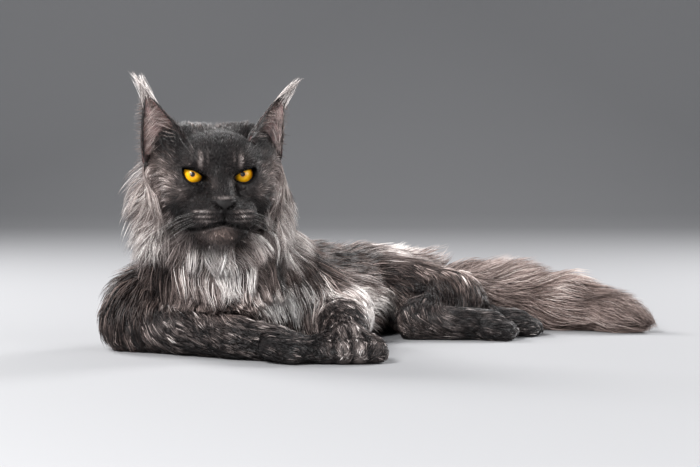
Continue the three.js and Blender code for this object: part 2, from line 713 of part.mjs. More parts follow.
const tailRootLocks = plant(COATS.tail, tailLine, LOCKS.tail, [
  { at: 0.1, from: -20, to: 200, count: 5 },
  { at: 0.24, from: -20, to: 200, count: 5 },
  { at: 0.38, from: -20, to: 200, count: 5 },
], nearHips);
const plumeLocks = plant(COATS.tail, tailLine, LOCKS.plume, [
  { at: 0.52, from: -20, to: 200, count: 5 },
  { at: 0.66, from: -20, to: 200, count: 4 },
  { at: 0.8, from: -20, to: 200, count: 4 },
  { at: 0.95, from: -20, to: 200, count: 4 },
  { at: 1, lean: 1.2, from: 20, to: 200, count: 2 },
]);

/** Tufts on the tip of an ear, running on from its spine and bending out to their own ends. */
function earTufts(ear, room = 0) {
  const { face, spine } = earFrame(ear);
  return ear.tuft.map((end) => {
    const tip = spine(1);
    const middle = tip.clone().lerp(fromHead(...end), 0.5).addScaledVector(UP, 1.5);
    const path = [spine(0.85), tip, middle, fromHead(...end)].map((at) => ({ at, normal: face }));
    return lockSolid(path, LOCKS.earTuft, room);
  });
}

// Each piece keeps its outline where it comes early in this order, and later ones give way to it.
const armRooms = [armRight.room, armLeft.room];
const footRooms = [footLeft.room, footRight.room];
const headRooms = [joined([headRoom, ...cheeks.rooms]), ...earRooms];
const withLocks = (solid, locks) => joined([solid, ...locks]);
const neckRoom = withLocks(neckCore.room, ruff.rooms);
const loinRoom = withLocks(loinCore.room, back.rooms);
const thighLeftRoom = withLocks(thighLeftCore.room, britchesLeft.rooms);
const thighRooms = [thighLeftRoom, thighRightCore.room];
const tailRootCore = carved(tailCore.made, tailHalf(1));
const tailRootRoom = joined(tailRootLocks.rooms);
const clearOf = (solid, locks, ...rooms) => carved(withLocks(solid, locks), ...rooms, floorSlab);
const pieces = {
  head: [joined([makeHead(), ...cheeks.made.map((lock) => carved(lock, ...earRooms))]), "mask"],
  ear_right: [joined([carved(earRight, headRoom), ...earTufts(EARS.right)]), "ear"],
  ear_left: [joined([carved(earLeft, headRoom), ...earTufts(EARS.left)]), "ear"],
  eye_right: [eyeball(-1), "amber"],
  eye_left: [eyeball(1), "amber"],
  foreleg_right: [carved(armRight.made, floorSlab), "black"],
  foreleg_left: [carved(armLeft.made, floorSlab, armRight.room), "black"],
  neck: [clearOf(neckCore.made, ruff.made, ...headRooms, ...armRooms), "silver"],
  thorax: [
    clearOf(carved(thoraxCore.made, behindRibs(1)), shoulders.made, ...headRooms, neckRoom, ...armRooms),
    "smoke",
  ],
  hindfoot_left: [carved(footLeft.made, floorSlab), "black"],
  hindfoot_right: [carved(footRight.made, footLeft.room, floorSlab), "black"],
  thigh_left: [clearOf(thighLeftCore.made, britchesLeft.made, ...footRooms, ...armRooms), "smoke"],
  thigh_right: [clearOf(thighRightCore.made, [], ...footRooms, thighLeftRoom), "smoke"],
  loin: [
    clearOf(
      carved(loinCore.made, behindRibs(-1)),
      back.made,
      ...thighRooms,
      ...footRooms,
      ...armRooms,
      neckRoom,
      ...shoulders.rooms,
    ),
    "smoke",
  ],
};
const tailClear = [loinRoom, ...thighRooms, ...footRooms];
pieces.tail_root = [clearOf(tailRootCore, tailRootLocks.made, ...tailClear), "tail"];
pieces.tail_plume = [
  clearOf(carved(tailCore.made, tailHalf(-1)), plumeLocks.made, ...tailClear, tailRootRoom),
  "tail",
];

const cat = new THREE.Group();
for (const [name, [solid, colour]] of Object.entries(pieces)) {
  const { vertProperties, triVerts } = largest(solid).getMesh();
  const geometry = new THREE.BufferGeometry();
  geometry.setAttribute("position", new THREE.BufferAttribute(new Float32Array(vertProperties), 3));
  geometry.setIndex(new THREE.BufferAttribute(new Uint32Array(triVerts), 1));
  geometry.computeVertexNormals();
  const finish = new THREE.MeshStandardMaterial({
    color: COLOURS[colour],
    roughness: colour === "amber" ? 0.08 : 0.85,
    metalness: 0,
  });
  const mesh = new THREE.Mesh(geometry, finish);
  mesh.name = name;
  cat.add(mesh);
}
const footprint = new THREE.Box3().setFromObject(cat, true);
const middle = footprint.getCenter(point(0, 0, 0));
cat.position.set(-middle.x, -middle.y, -footprint.min.z);

export default cat;
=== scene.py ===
"""The look of a life-size Maine Coon cat: a black smoke, lying with its head up and its plume laid out."""

import logging
import math
from collections.abc import Callable, Sequence
from dataclasses import dataclass, replace
from enum import Enum

import bmesh
import bpy
import numpy as np
from mathutils import Matrix, Vector, kdtree


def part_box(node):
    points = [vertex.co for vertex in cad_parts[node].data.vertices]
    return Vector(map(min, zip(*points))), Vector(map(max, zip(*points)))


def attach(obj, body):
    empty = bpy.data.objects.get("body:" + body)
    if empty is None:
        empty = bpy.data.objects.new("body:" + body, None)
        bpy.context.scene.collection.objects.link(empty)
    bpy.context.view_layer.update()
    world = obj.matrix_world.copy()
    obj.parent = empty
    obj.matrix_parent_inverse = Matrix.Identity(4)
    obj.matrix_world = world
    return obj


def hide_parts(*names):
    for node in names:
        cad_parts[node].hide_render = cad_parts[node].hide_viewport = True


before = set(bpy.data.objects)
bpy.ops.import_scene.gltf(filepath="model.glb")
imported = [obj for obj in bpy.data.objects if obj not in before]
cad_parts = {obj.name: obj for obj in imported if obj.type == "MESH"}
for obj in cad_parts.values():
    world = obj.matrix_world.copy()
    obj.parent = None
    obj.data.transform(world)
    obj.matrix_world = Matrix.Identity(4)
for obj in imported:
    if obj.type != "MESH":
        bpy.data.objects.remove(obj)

log = logging.getLogger("cat")
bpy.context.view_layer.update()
MM = 0.001
Points = np.ndarray
Field = Callable[[Points], np.ndarray]

# The head's own frame: x to the cat's left, -y ahead, z up, from the point between the eyes.
HEAD_YAW = math.radians(11)
HEAD_AT = np.array([-128.6, -45.0, 181.0])
EYE_SPACING = 50.0
EYE_DEEP = 9.5
EYEBALL = 11.0
CAMERA_AT = np.array([0.0, -2500.0, 250.0])
FLOOR_SKIN = 1.2  # the lowest that the skin comes, above the floor, in mm


def shift_to_row() -> np.ndarray:
    """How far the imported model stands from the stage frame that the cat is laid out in.

    Returns:
        The shift in mm, found from the two eyeballs, whose stage places are known.
    """
    middle = np.zeros(3)
    for node in ("eye_right", "eye_left"):
        low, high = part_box(node)
        middle += (np.array(low) + np.array(high)) / 4
    spot = head_to_stage(np.array([[0.0, EYE_DEEP, 0.0]]))[0]
    return middle / MM - spot


def head_to_stage(p: Points) -> Points:
    """Points of the head's frame in the stage frame."""
    c, s = math.cos(HEAD_YAW), math.sin(HEAD_YAW)
    return p @ np.array([[c, s, 0], [-s, c, 0], [0, 0, 1]]) + HEAD_AT


def stage_to_head(p: Points) -> Points:
    """Points of the stage frame in the head's frame."""
    c, s = math.cos(HEAD_YAW), math.sin(HEAD_YAW)
    return (p - HEAD_AT) @ np.array([[c, -s, 0], [s, c, 0], [0, 0, 1]])


SHIFT = shift_to_row()


def to_row(p: Points) -> Points:
    """Stage millimetres as metres in the row's frame."""
    return (p + SHIFT) * MM


def unit(v: Points) -> Points:
    """Each vector at length one."""
    return v / np.maximum(np.linalg.norm(v, axis=-1, keepdims=True), 1e-9)


def ramp(x: np.ndarray, low: float, high: float) -> np.ndarray:
    """A smooth rise from 0 at low to 1 at high."""
    t = np.clip((x - low) / (high - low), 0, 1)
    return t * t * (3 - 2 * t)


@dataclass(frozen=True)
class Bone:
    """A round bone with its flesh, from one joint (x, y, z, radius) to the next."""

    start: tuple[float, float, float, float]
    end: tuple[float, float, float, float]

    def __call__(self, p: Points) -> np.ndarray:
        """Distance from each point to the flesh."""
        a, run = np.array(self.start[:3]), np.subtract(self.end[:3], self.start[:3])
        t = np.clip((p - a) @ run / (run @ run), 0, 1)
        gap = np.linalg.norm(p - a - t[:, None] * run, axis=1)
        return gap - (self.start[3] + (self.end[3] - self.start[3]) * t)

    def balls(self) -> list[tuple[np.ndarray, np.ndarray]]:
        """Balls along the bone that stand for it, each a centre and three radii."""
        ends = np.array([self.start, self.end])
        steps = max(3, int(np.linalg.norm(ends[1, :3] - ends[0, :3]) / 9))
        made = [ends[0] + (ends[1] - ends[0]) * k / steps for k in range(steps + 1)]
        return [(m[:3], np.full(3, m[3])) for m in made]


@dataclass(frozen=True)
class Pad:
    """A rounded muscle or fat pad: an ellipsoid."""

    centre: tuple[float, float, float]
    radii: tuple[float, float, float]

    def __call__(self, p: Points) -> np.ndarray:
        """Distance from each point to the pad, near enough."""
        u = (p - np.array(self.centre)) / np.array(self.radii)
        k0 = np.linalg.norm(u, axis=1)
        k1 = np.maximum(np.linalg.norm(u / np.array(self.radii), axis=1), 1e-6)
        return k0 * (k0 - 1) / k1

    def balls(self) -> list[tuple[np.ndarray, np.ndarray]]:
        """The one ellipsoid."""
        return [(np.array(self.centre), np.array(self.radii))]


def soft_min(d: np.ndarray, e: np.ndarray, soft: float) -> np.ndarray:
    """The smaller of two distances, with a soft crease of the given width where they meet."""
    h = np.maximum(soft - np.abs(d - e), 0) / soft
    return np.minimum(d, e) - h * h * soft / 4


@dataclass(frozen=True)
class Melt:
    """Fields joined into one form with soft creases."""

    soft: float
    fields: tuple[Field, ...]

    def __call__(self, p: Points) -> np.ndarray:
        """Distance from each point to the joined form."""
        d = self.fields[0](p)
        for part in self.fields[1:]:
            d = soft_min(d, part(p), self.soft)
        return d

    def balls(self) -> list[tuple[np.ndarray, np.ndarray]]:
        """The balls of every part."""
        return [ball for part in self.fields for ball in part.balls()]


@dataclass(frozen=True)
class HeadForm:
    """The bare head, the same on both sides of its middle plane."""

    form: Melt = Melt(
        9,
        (
            Pad((0, 40, 10), (47, 50, 34)),  # cranium
            Pad((25, 45, 20), (36, 27, 30)),  # between the ears
            Pad((38, 34, 4), (27, 30, 28)),  # temples
            Pad((0, 10, 20), (38, 26, 21)),  # forehead
            Pad((19, 0, 14), (16, 12, 8.5)),  # brow
            Pad((32, 22, -17), (25, 34, 30)),  # cheek
            Pad((34, 5, -11), (17, 14, 13)),  # cheekbone
            Bone((0, 2, 4, 14), (0, -26, -24, 12)),  # bridge of the nose
            Pad((0, -34, -29), (13, 8, 7.5)),  # nose leather
            Pad((16, -19, -39), (18.5, 17, 12.5)),  # whisker pads
            Pad((0, -8, -36), (31, 22, 18)),  # muzzle
            Pad((0, -18, -56), (19, 13.5, 12.5)),  # chin
            Pad((0, 10, -46), (33, 33, 22)),  # lower jaw
        ),
    )
    lids: Pad = Pad((EYE_SPACING / 2, EYE_DEEP, 0), (EYEBALL + 1.6,) * 3)

    def __call__(self, p: Points) -> np.ndarray:
        """Distance from each stage point to the head."""
        q = stage_to_head(p)
        q[:, 0] = np.abs(q[:, 0])
        return Melt(4, (self.form, self.lids))(q)

    def balls(self) -> list[tuple[np.ndarray, np.ndarray]]:
        """The balls of the head, both sides."""
        made = []
        for centre, radii in self.form.balls():
            for side in (-1, 1) if centre[0] else (1,):
                made.append((head_to_stage(centre[None] * [side, 1, 1])[0], radii))
        return made


@dataclass(frozen=True)
class OnHead:
    """A field given in the head's frame, read at stage points."""

    inner: Pad

    def __call__(self, p: Points) -> np.ndarray:
        """Distance from each stage point to the form."""
        return self.inner(stage_to_head(p))


def tail_form(radii: Sequence[float]) -> Melt:
    """The tail along its bones, with the radius at each joint."""
    spots = [(66, 310, 36), (128, 318, 34), (190, 308, 32), (248, 280, 26), (304, 248, 16)]
    joints = [(*spot, r) for spot, r in zip(spots, radii)]
    return Melt(14, tuple(Bone(a, b) for a, b in zip(joints, joints[1:])))


def paw_bones(
    at: tuple[float, float, float], heading: float, spread: float, radius: float, reach: float
) -> list[Bone]:
    """Four toes side by side at the end of a foot.

    Args:
        at: the knuckles' place.
        heading: which way the foot points, in degrees.
        spread: how far apart the toes stand.
        radius: half a toe's thickness.
        reach: the length of the middle toes.

    Returns:
        One bone for each toe.
    """
    turn = math.radians(heading)
    ax, ay = math.cos(turn), math.sin(turn)
    made = []
    for place in (-1.5, -0.5, 0.5, 1.5):
        fan = place * 0.09
        dx, dy = ax - ay * fan, ay + ax * fan
        x, y = at[0] - ay * place * spread, at[1] + ax * place * spread
        length = reach * (1 if abs(place) < 1 else 0.82)
        tip = (x + dx * length, y + dy * length, radius - 1.5, radius)
        made.append(Bone((x, y, at[2], radius), tip))
    return made


TOES = (
    paw_bones((-70, -70, 16), -24, 11, 11.5, 32),
    paw_bones((-2, -68, 16), -84, 14, 12, 28),
    paw_bones((146, 159, 13), 2, 10, 10, 22),
    paw_bones((178, 208, 12), -4, 9, 9, 21),
)


def toe_cleft_shade(p: Points) -> np.ndarray:
    """How deep each stage point lies in the painted shade of the clefts between the toes, from 0 to 1."""
    found = np.zeros(len(p))
    for toes in TOES:
        for one, other in zip(toes, toes[1:]):
            start, end = (np.add(a[:2], b[:2]) / 2 for a, b in ((one.start, other.start), (one.end, other.end)))
            reach = np.linalg.norm(end - start)
            run = (end - start) / reach
            along = (p[:, :2] - start) @ run
            aside = (p[:, 0] - start[0]) * run[1] - (p[:, 1] - start[1]) * run[0]
            inside = ramp(along, 0, reach * 0.6) * ramp(-along, -reach - 24, -reach - 12)
            found = np.maximum(found, inside * np.exp(-((aside / 2.4) ** 2)))
    return found


HEAD = HeadForm()
NECK = Melt(16, (Bone((-143, 22, 160, 33), (-124, 64, 106, 38)), Bone((-138, 2, 124, 30), (-128, 0, 76, 36))))
RUFF = Melt(
    24,
    (
        Pad((-148, 26, 140), (90, 46, 58)),
        Pad((-196, 32, 162), (45, 36, 41)),
        Pad((-208, 24, 130), (36, 36, 34)),
        Pad((-84, 24, 130), (34, 36, 34)),
        Pad((-104, 32, 164), (37, 36, 38)),
        Pad((-196, 36, 186), (23, 26, 24)),
        Pad((-99, 36, 185), (24, 26, 23)),
        Pad((-142, 2, 102), (88, 68, 62)),
        Bone((-146, 26, 156, 46), (-124, 70, 108, 52)),
    ),
)
THORAX = Melt(
    22,
    (
        Bone((-124, 10, 56, 40), (-118, 70, 56, 57)),
        Bone((-118, 70, 56, 57), (-95, 150, 48, 51)),
        Bone((-118, 80, 78, 44), (-100, 140, 66, 38)),
        Bone((-160, 66, 70, 38), (-212, 50, 38, 34)),
        Bone((-74, 80, 70, 36), (-20, 80, 34, 28)),
    ),
)
LOIN = Melt(
    22,
    (
        Bone((-95, 150, 48, 51), (-45, 215, 42, 45)),
        Bone((-45, 215, 42, 45), (15, 270, 40, 43)),
        Bone((15, 270, 40, 43), (58, 300, 38, 40)),
        Bone((-62, 130, 36, 38), (0, 205, 32, 35)),
    ),
)
HAUNCH_LEFT = Melt(
    18,
    (
        Bone((34, 262, 44, 42), (112, 222, 34, 30)),
        Bone((112, 222, 30, 27), (74, 172, 20, 20)),
    ),
)
HAUNCH_RIGHT = Melt(
    18,
    (
        Bone((58, 296, 32, 34), (122, 252, 24, 25)),
        Bone((122, 252, 22, 23), (112, 226, 16, 17)),
    ),
)
FOOT_LEFT = Melt(
    5,
    (
        Bone((72, 166, 16, 18), (112, 161, 16, 17)),
        Bone((112, 161, 16, 17), (150, 159, 14, 16)),
        *TOES[2],
    ),
)
FOOT_RIGHT = Melt(
    5,
    (
        Bone((108, 222, 15, 17), (150, 213, 14, 16)),
        Bone((150, 213, 14, 16), (182, 208, 13, 14)),
        *TOES[3],
    ),
)
ARM_RIGHT = Melt(
    6,
    (
        Bone((-218, 44, 27, 27), (-160, -6, 26, 24)),
        Bone((-160, -6, 26, 24), (-112, -46, 21, 19)),
        Bone((-112, -46, 20, 19), (-72, -66, 17, 17)),
        *TOES[0],
    ),
)
ARM_LEFT = Melt(
    6,
    (
        Bone((-12, 84, 30, 29), (-7, 10, 27, 24)),
        Bone((-7, 10, 27, 24), (-4, -36, 23, 20)),
        Bone((-4, -36, 21, 20), (-3, -68, 17, 19)),
        *TOES[1],
    ),
)
TAIL = tail_form((22, 12, 10, 8, 5))


@dataclass(frozen=True)
class Region:
    """One named stretch of the body and how the fur grows on it.

    The depth is that of the coat, as a number, or as the outline's own field, or None where another
    region on the same skin gives it. The bones lead the lie of the coat, and spread turns it away from
    them. Lengths and widths are in mm, and root_length is the length at the root of the first bone.
    Density is in strands a square centimetre, lock is how far apart the locks stand, and rings is how
    many points each strand has. Fall, curl and clump say how far the hair hangs, waves and gathers,
    droop how far it turns down at the root, and rise how soon it stands out from the skin, sooner the
    smaller it is. Contrast is that between locks, sunk is how far the hair between the locks stays
    down, and frost the share of small tufts with white tips.
    """

    name: str
    skin: Field
    depth: float | Callable[[Points], np.ndarray] | None
    lead: tuple[tuple[tuple[float, float, float], tuple[float, float, float]], ...]
    length: float
    width: float
    density: float
    fall: float = 0.15
    curl: float = 0.1
    clump: float = 0.7
    lock: float = 9.0
    rings: int = 5
    spread: float = 0.0
    root_length: float = 0.0
    droop: float = 0.0
    contrast: float = 1.0
    rise: float = 0.75
    sunk: float = 1.0
    frost: float = 0.0


CROWN = Melt(
    8,
    (
        OnHead(Pad((-40, 44, 34), (18, 16, 21))),
        OnHead(Pad((0, 46, 31), (30, 16, 22))),
        OnHead(Pad((40, 44, 34), (18, 16, 21))),
    ),
)


def head_outline(p: Points) -> np.ndarray:
    """The outline of the head's own fur: close on the face, deeper on cheeks, nape and crown."""
    q = stage_to_head(p)
    depth = 2.2 + 3.5 * cheek_share(p) + 2.0 * ramp(q[:, 1], 18, 44)
    return soft_min(HEAD(p) - depth, CROWN(p), 8)


def cheek_share(p: Points) -> np.ndarray:
    """How far each stage point on the head belongs to the long cheek fur rather than the short face."""
    q = stage_to_head(p)
    levels = (-75, -66, -57, -46, -31, -24, -10, 8, 18, 30)
    edge = np.interp(q[:, 2], levels, (6, 15, 26, 39, 48, 52, 52, 53, 60, 90))
    side = ramp(np.abs(q[:, 0]) - edge, -3, 3) * ramp(-q[:, 2], -24, -10)
    nape = ramp(q[:, 1], 30, 52) * ramp(-q[:, 2], -44, -22) * ramp(np.abs(q[:, 0]) - q[:, 2], 8, 24)
    throat = ramp(-q[:, 2], 62, 70)
    return np.maximum.reduce([side, nape, throat])


PLUME = Melt(
    14,
    (
        tail_form((58, 58, 52, 44, 30)),
        Bone((304, 248, 16, 30), (338, 227, 9, 8)),  # tip
        Bone((84, 286, 68, 36), (150, 292, 60, 32)),  # fluff over the hips
    ),
)
NOSE_AT = head_to_stage(np.array([[0.0, -38.0, -24.0]]))[0]
REGIONS = (
    Region(
        "face", HEAD, None, (), length=9, width=0.52, density=72, fall=0.0, curl=0.03, clump=0.5, lock=5.0,
        rings=3, contrast=1.3,
    ),
    Region(
        "cheek", HEAD, head_outline, (), length=76, width=0.78, density=60, fall=0.36, curl=0.24, clump=0.8,
        lock=9.0, rings=7, contrast=1.4, rise=0.45, sunk=0.5,
    ),
    Region(
        "ruff", NECK, RUFF,
        (
            ((-140, 10, 176), (-138, 0, 70)),
            ((-160, -34, 130), (-206, -30, 66)),
            ((-134, -56, 120), (-52, -44, 62)),
        ),
        length=80, width=0.95, density=28, fall=0.2, curl=0.34, clump=0.84, lock=13.0, rings=7, spread=0.8,
        contrast=1.9, rise=0.6, sunk=0.6,
    ),
    Region(
        "thorax", THORAX, 20,
        (
            ((-110, 90, 100), (-95, 160, 60)),
            ((-165, 40, 110), (-222, 34, 20)),
            ((-90, 50, 110), (-10, 70, 30)),
            ((-130, -20, 90), (-130, -20, 10)),
        ),
        length=56, width=1.1, density=14, fall=0.4, curl=0.18, clump=0.78, lock=12.0, rings=5, droop=0.5,
        contrast=2.0,
    ),
    Region(
        "loin", LOIN, 16, (((-95, 150, 50), (58, 305, 40)),), length=52, width=1.15, density=14, fall=0.22,
        curl=0.14, clump=0.76, lock=12.0, rings=4, contrast=2.0,
    ),
    Region(
        "haunch_left", HAUNCH_LEFT, 8,
        (((34, 262, 44), (112, 222, 34)), ((112, 222, 30), (74, 172, 20))),
        length=36, width=1.05, density=20, fall=0.3, curl=0.12, clump=0.76, lock=10.0, rings=4, contrast=1.8,
        root_length=50,
    ),
    Region(
        "haunch_right", HAUNCH_RIGHT, 8, (((58, 296, 32), (122, 252, 24)),), length=34, width=1.05,
        density=18, fall=0.3, clump=0.76, lock=10.0, rings=4, contrast=1.8,
    ),
    Region(
        "foot_left", FOOT_LEFT, 3, (((72, 166, 16), (180, 159, 12)),), length=16, width=0.7, density=48,
        fall=0.08, curl=0.05, clump=0.7, lock=6.0, rings=3, contrast=2.4, root_length=30, frost=0.17,
    ),
    Region(
        "foot_right", FOOT_RIGHT, 3, (((108, 222, 15), (205, 206, 12)),), length=15, width=0.7, density=44,
        fall=0.08, curl=0.05, clump=0.7, lock=6.0, rings=3, contrast=2.4, root_length=28, frost=0.17,
    ),
    Region(
        "arm_right", ARM_RIGHT, 3.2,
        (((-218, 44, 27), (-112, -46, 21)), ((-112, -46, 20), (-40, -84, 14))), length=18, width=0.85,
        density=30, fall=0.16, curl=0.08, clump=0.78, lock=8.0, rings=4, root_length=46, droop=1.2,
        contrast=2.1, frost=0.14,
    ),
    Region(
        "arm_left", ARM_LEFT, 3.2,
        (((-46, 60, 62), (14, -30, 20)), ((-4, -36, 21), (0, -100, 14))), length=18, width=0.85,
        density=26, fall=0.16, curl=0.08, clump=0.78, lock=8.0, rings=4, root_length=44, droop=0.8,
        contrast=2.2, frost=0.12,
    ),
    Region(
        "tail", TAIL, PLUME,
        (
            ((66, 310, 36), (128, 318, 34)),
            ((128, 318, 34), (190, 308, 32)),
            ((190, 308, 32), (248, 280, 26)),
            ((248, 280, 26), (304, 248, 16)),
        ),
        length=78, width=0.9, density=48, fall=0.04, curl=0.14, clump=0.62, lock=12.0, rings=5, spread=0.75,
        contrast=1.3, rise=0.7, sunk=0.35,
    ),
)


class Body:
    """The forms of the whole body, each worked out once where several are wanted."""

    @staticmethod
    def skin(p: Points) -> np.ndarray:
        """Distance from each stage point to the skin."""
        return Body.both(p, False)[0]

    @staticmethod
    def both(p: Points, coat: bool = True) -> tuple[np.ndarray, np.ndarray]:
        """Distances to the skin and to the coat's outline.

        Args:
            p: stage points.
            coat: False where only the skin is wanted.

        Returns:
            Both distances.
        """
        seen: dict[int, np.ndarray] = {}
        inner = outer = np.full(len(p), 1e3)
        for region in REGIONS:
            key = id(region.skin)
            if key not in seen:
                seen[key] = region.skin(p)
                inner = soft_min(inner, seen[key], 10)
            if coat and region.depth is not None:
                edge = region.depth(p) if callable(region.depth) else seen[key] - region.depth
                outer = soft_min(outer, edge, 12)
        return inner, outer


def slope(form: Field, p: Points, step: float = 0.7) -> tuple[Points, np.ndarray]:
    """The field's value at each point and the direction it grows in.

    Args:
        form: the field.
        p: the points.
        step: how far apart the field is read.

    Returns:
        Unit directions and values.
    """
    value = form(p)
    rise = np.stack([form(p + step * axis) - value for axis in np.eye(3)], axis=1)
    return unit(rise), value


class Placed:
    """Meshes made in the stage frame and put into the scene in the row's frame."""

    @staticmethod
    def add(name: str, mesh: bpy.types.Mesh, material: bpy.types.Material) -> bpy.types.Object:
        """Links a finished mesh that rides on the body.

        Args:
            name: the piece's name.
            mesh: its mesh, in metres.
            material: its finish.

        Returns:
            The piece.
        """
        mesh.name = name
        made = bpy.data.objects.new(name, mesh)
        bpy.context.scene.collection.objects.link(made)
        mesh.materials.clear()
        mesh.materials.append(material)
        mesh.shade_smooth()
        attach(made, "root")
        log.info("%s: %d faces", name, len(mesh.polygons))
        return made

    @staticmethod
    def move(mesh: bpy.types.Mesh, change: Callable[[Points], Points]) -> None:
        """Moves every vertex of a mesh by a function of its place."""
        p = Placed.points(mesh)
        mesh.vertices.foreach_set("co", change(p).astype(np.float32).ravel())
        mesh.update()

    @staticmethod
    def points(mesh: bpy.types.Mesh) -> Points:
        """The places of a mesh's vertices."""
        co = np.empty(len(mesh.vertices) * 3, np.float32)
        mesh.vertices.foreach_get("co", co)
        return co.reshape(-1, 3).astype(float)

    @staticmethod
    def write(mesh: bpy.types.Mesh, name: str, values: np.ndarray) -> None:
        """Keeps one number for each vertex under a name that materials read."""
        made = mesh.attributes.get(name) or mesh.attributes.new(name, "FLOAT", "POINT")
        made.data.foreach_set("value", values.astype(np.float32))


# Markings


@dataclass(frozen=True)
class Mark:
    """A soft patch of lighter or darker coat, a few of them painted shade and painted light: shade 0 is black
    and 1 is silver white.
    """

    at: tuple[float, float, float]
    radii: tuple[float, float, float]
    shade: float
    strength: float = 1.0
    warm: float | None = None
    on_head: bool = False

    def weight(self, p: Points) -> np.ndarray:
        """How strongly the patch shows at each stage point."""
        q = stage_to_head(p) if self.on_head else p
        if self.on_head:
            q[:, 0] = np.abs(q[:, 0])
        u = (q - np.array(self.at)) / np.array(self.radii)
        return self.strength * np.exp(-((u * u).sum(1) ** 1.5))


class Markings:
    """The black smoke pattern of the whole coat, which skin and fur both carry.

    Base gives each region's shade and warmth, and each mark changes them in turn; a few marks and the toe
    clefts are painted shade, one a painted highlight and two partly painted rim light.
    """

    base = {
        "face": (0.1, 0.5), "cheek": (0.74, 0.5), "ruff": (0.68, 0.5), "thorax": (0.29, 0.85),
        "loin": (0.23, 0.85), "haunch_left": (0.18, 0.7), "haunch_right": (0.2, 0.7),
        "foot_left": (0.12, 0.3), "foot_right": (0.1, 0.3), "arm_right": (0.17, 0.4),
        "arm_left": (0.2, 0.4), "tail": (0.74, 0.9),
    }
    marks = (
        Mark((-188, -20, 116), (36, 70, 24), 1.0, 0.85, 0.25),  # silver locks under the right jaw
        Mark((-80, -20, 112), (26, 70, 22), 0.98, 0.85, 0.3),  # silver locks under the left jaw
        Mark((-222, 10, 150), (22, 70, 50), 0.92, 0.8, 0.25),  # silver edge of the ruff, right side, partly painted rim light
        Mark((-62, 10, 150), (16, 70, 44), 0.88, 0.7, 0.3),  # silver edge of the ruff, left side, partly painted rim light
        Mark((-198, -20, 88), (44, 70, 22), 0.16, 0.92, 0.9),  # brown under the right ruff
        Mark((-226, 40, 56), (36, 80, 50), 0.17, 0.7, 0.8),  # darker right shoulder
        Mark((-84, -20, 84), (18, 70, 22), 0.22, 0.85, 0.9),  # brown under the left ruff
        Mark((-142, -60, 120), (24, 60, 11), 0.6, 0.7, 0.6),  # greyer right under the chin
        Mark((-138, -60, 97), (24, 60, 13), 1.2, 1.0, 0.05),  # white patch on the bib
        Mark((-112, -60, 81), (20, 60, 13), 1.1, 0.9, 0.15),  # its lower left end
        Mark((-140, -40, 52), (60, 60, 15), 0.4, 0.75, 0.85),  # brown foot of the bib
        Mark((-62, -10, 52), (30, 100, 26), 1.6, 1.0, 0.05),  # silver elbow fur
        Mark((-32, 20, 62), (18, 60, 12), 1.0, 0.85, 0.2),  # silver over the left elbow
        Mark((-24, -30, 32), (16, 60, 13), 0.14, 0.8, 0.7),  # painted shade in the hollow behind the left paw
        Mark((4, 90, 62), (22, 110, 15), 1.1, 0.92, 0.35),  # silver band over the left elbow
        Mark((26, 114, 34), (33, 104, 22), 1.7, 0.97, 0.3),  # silver band of the belly
        Mark((66, 172, 24), (22, 40, 22), 0.15, 0.85, 0.6),  # dark left knee
        Mark((-40, 190, 96), (50, 60, 14), 0.3, 0.4, 0.7),  # paler back line
        Mark((42, 296, 84), (26, 60, 20), 1.15, 0.95, 0.3),  # tuft over the hips
        Mark((104, 306, 88), (64, 50, 28), 0.9, 0.95, 0.75),  # pale fluff where the tail begins
        Mark((116, 242, 68), (42, 60, 24), 0.74, 0.9, 0.85),  # paler fur over the left hock
        Mark((0, 30, 50), (44, 30, 6), 0.36, 0.7, 0.5, True),  # paler rim between the ears
        Mark((40, 16, 31), (9, 20, 7), 0.05, 0.9, 0.5, True),  # dark fringe before the ears
        Mark((60, 12, -6), (19, 40, 28), 0.74, 0.95, 0.6, True),  # pale grizzled cheeks
        Mark((42, 0, -16), (10, 34, 11), 0.42, 0.8, 0.4, True),  # inner edge of the cheeks
        Mark((44, 0, -36), (10, 34, 9), 0.07, 0.9, 0.3, True),  # dark corner of the mask
        Mark((31, 0, -50), (8, 25, 8), 0.05, 0.9, 0.3, True),  # shadow of the jaw
        Mark((34, 0, 12), (8, 20, 5), 0.36, 0.7, 0.3, True),  # over the outer corners
        Mark((8, -10, -8), (3.4, 20, 8), 0.5, 0.8, 0.2, True),  # beside the inner corners
        Mark((20, -10, 15), (3.0, 20, 9.5), 0.72, 0.9, 0.3, True),  # brow streaks
        Mark((13, -10, 18), (1.8, 20, 9), 0.42, 0.7, 0.2, True),  # fainter streaks inside them
        Mark((0, -4, 22), (7, 24, 24), 0.03, 0.8, 0.3, True),  # dark middle of the forehead
        Mark((28, -4, 22), (2.4, 20, 9), 0.36, 0.7, 0.2, True),  # fainter streaks outside them
        Mark((20, -36, -34), (11, 20, 1.6), 0.72, 0.9, 0.2, True),  # streaks on the whisker pads
        Mark((21, -34, -39), (11, 20, 1.5), 0.7, 0.9, 0.2, True),  # the second
        Mark((19, -34, -43.5), (10, 20, 1.4), 0.62, 0.9, 0.2, True),  # the third
        Mark((0, -38, -20.4), (10, 20, 1.9), 0.66, 0.9, 0.2, True),  # painted highlight along the top of the nose, just above the leather
        Mark((0, -30, -57), (14, 20, 8), 0.5, 0.95, 0.9, True),  # rusty chin
        Mark((300, 246, 20), (34, 60, 50), 0.46, 0.5, 0.85),  # darker tip of the tail
        Mark((128, 300, 60), (60, 60, 22), 0.75, 0.6, 0.7),  # top of the tail's root
        Mark((0, -96, 24), (30, 44, 22), 0.62, 0.95, 0.35),  # greyer left paw
        Mark((8, -116, 8), (20, 14, 8), 1.0, 0.6, 0.2),  # its pale toe tips
        Mark((-60, -84, 20), (40, 34, 26), 0.05, 0.9, 0.3),  # black right paw
        Mark((-37, -84, 14), (8, 40, 18), 0.0, 1.0, 0.3),  # painted shade in the gap between the paws
        Mark((-150, -20, 34), (40, 60, 14), 0.4, 0.6, 0.35),  # grizzled top of the right foreleg
    )

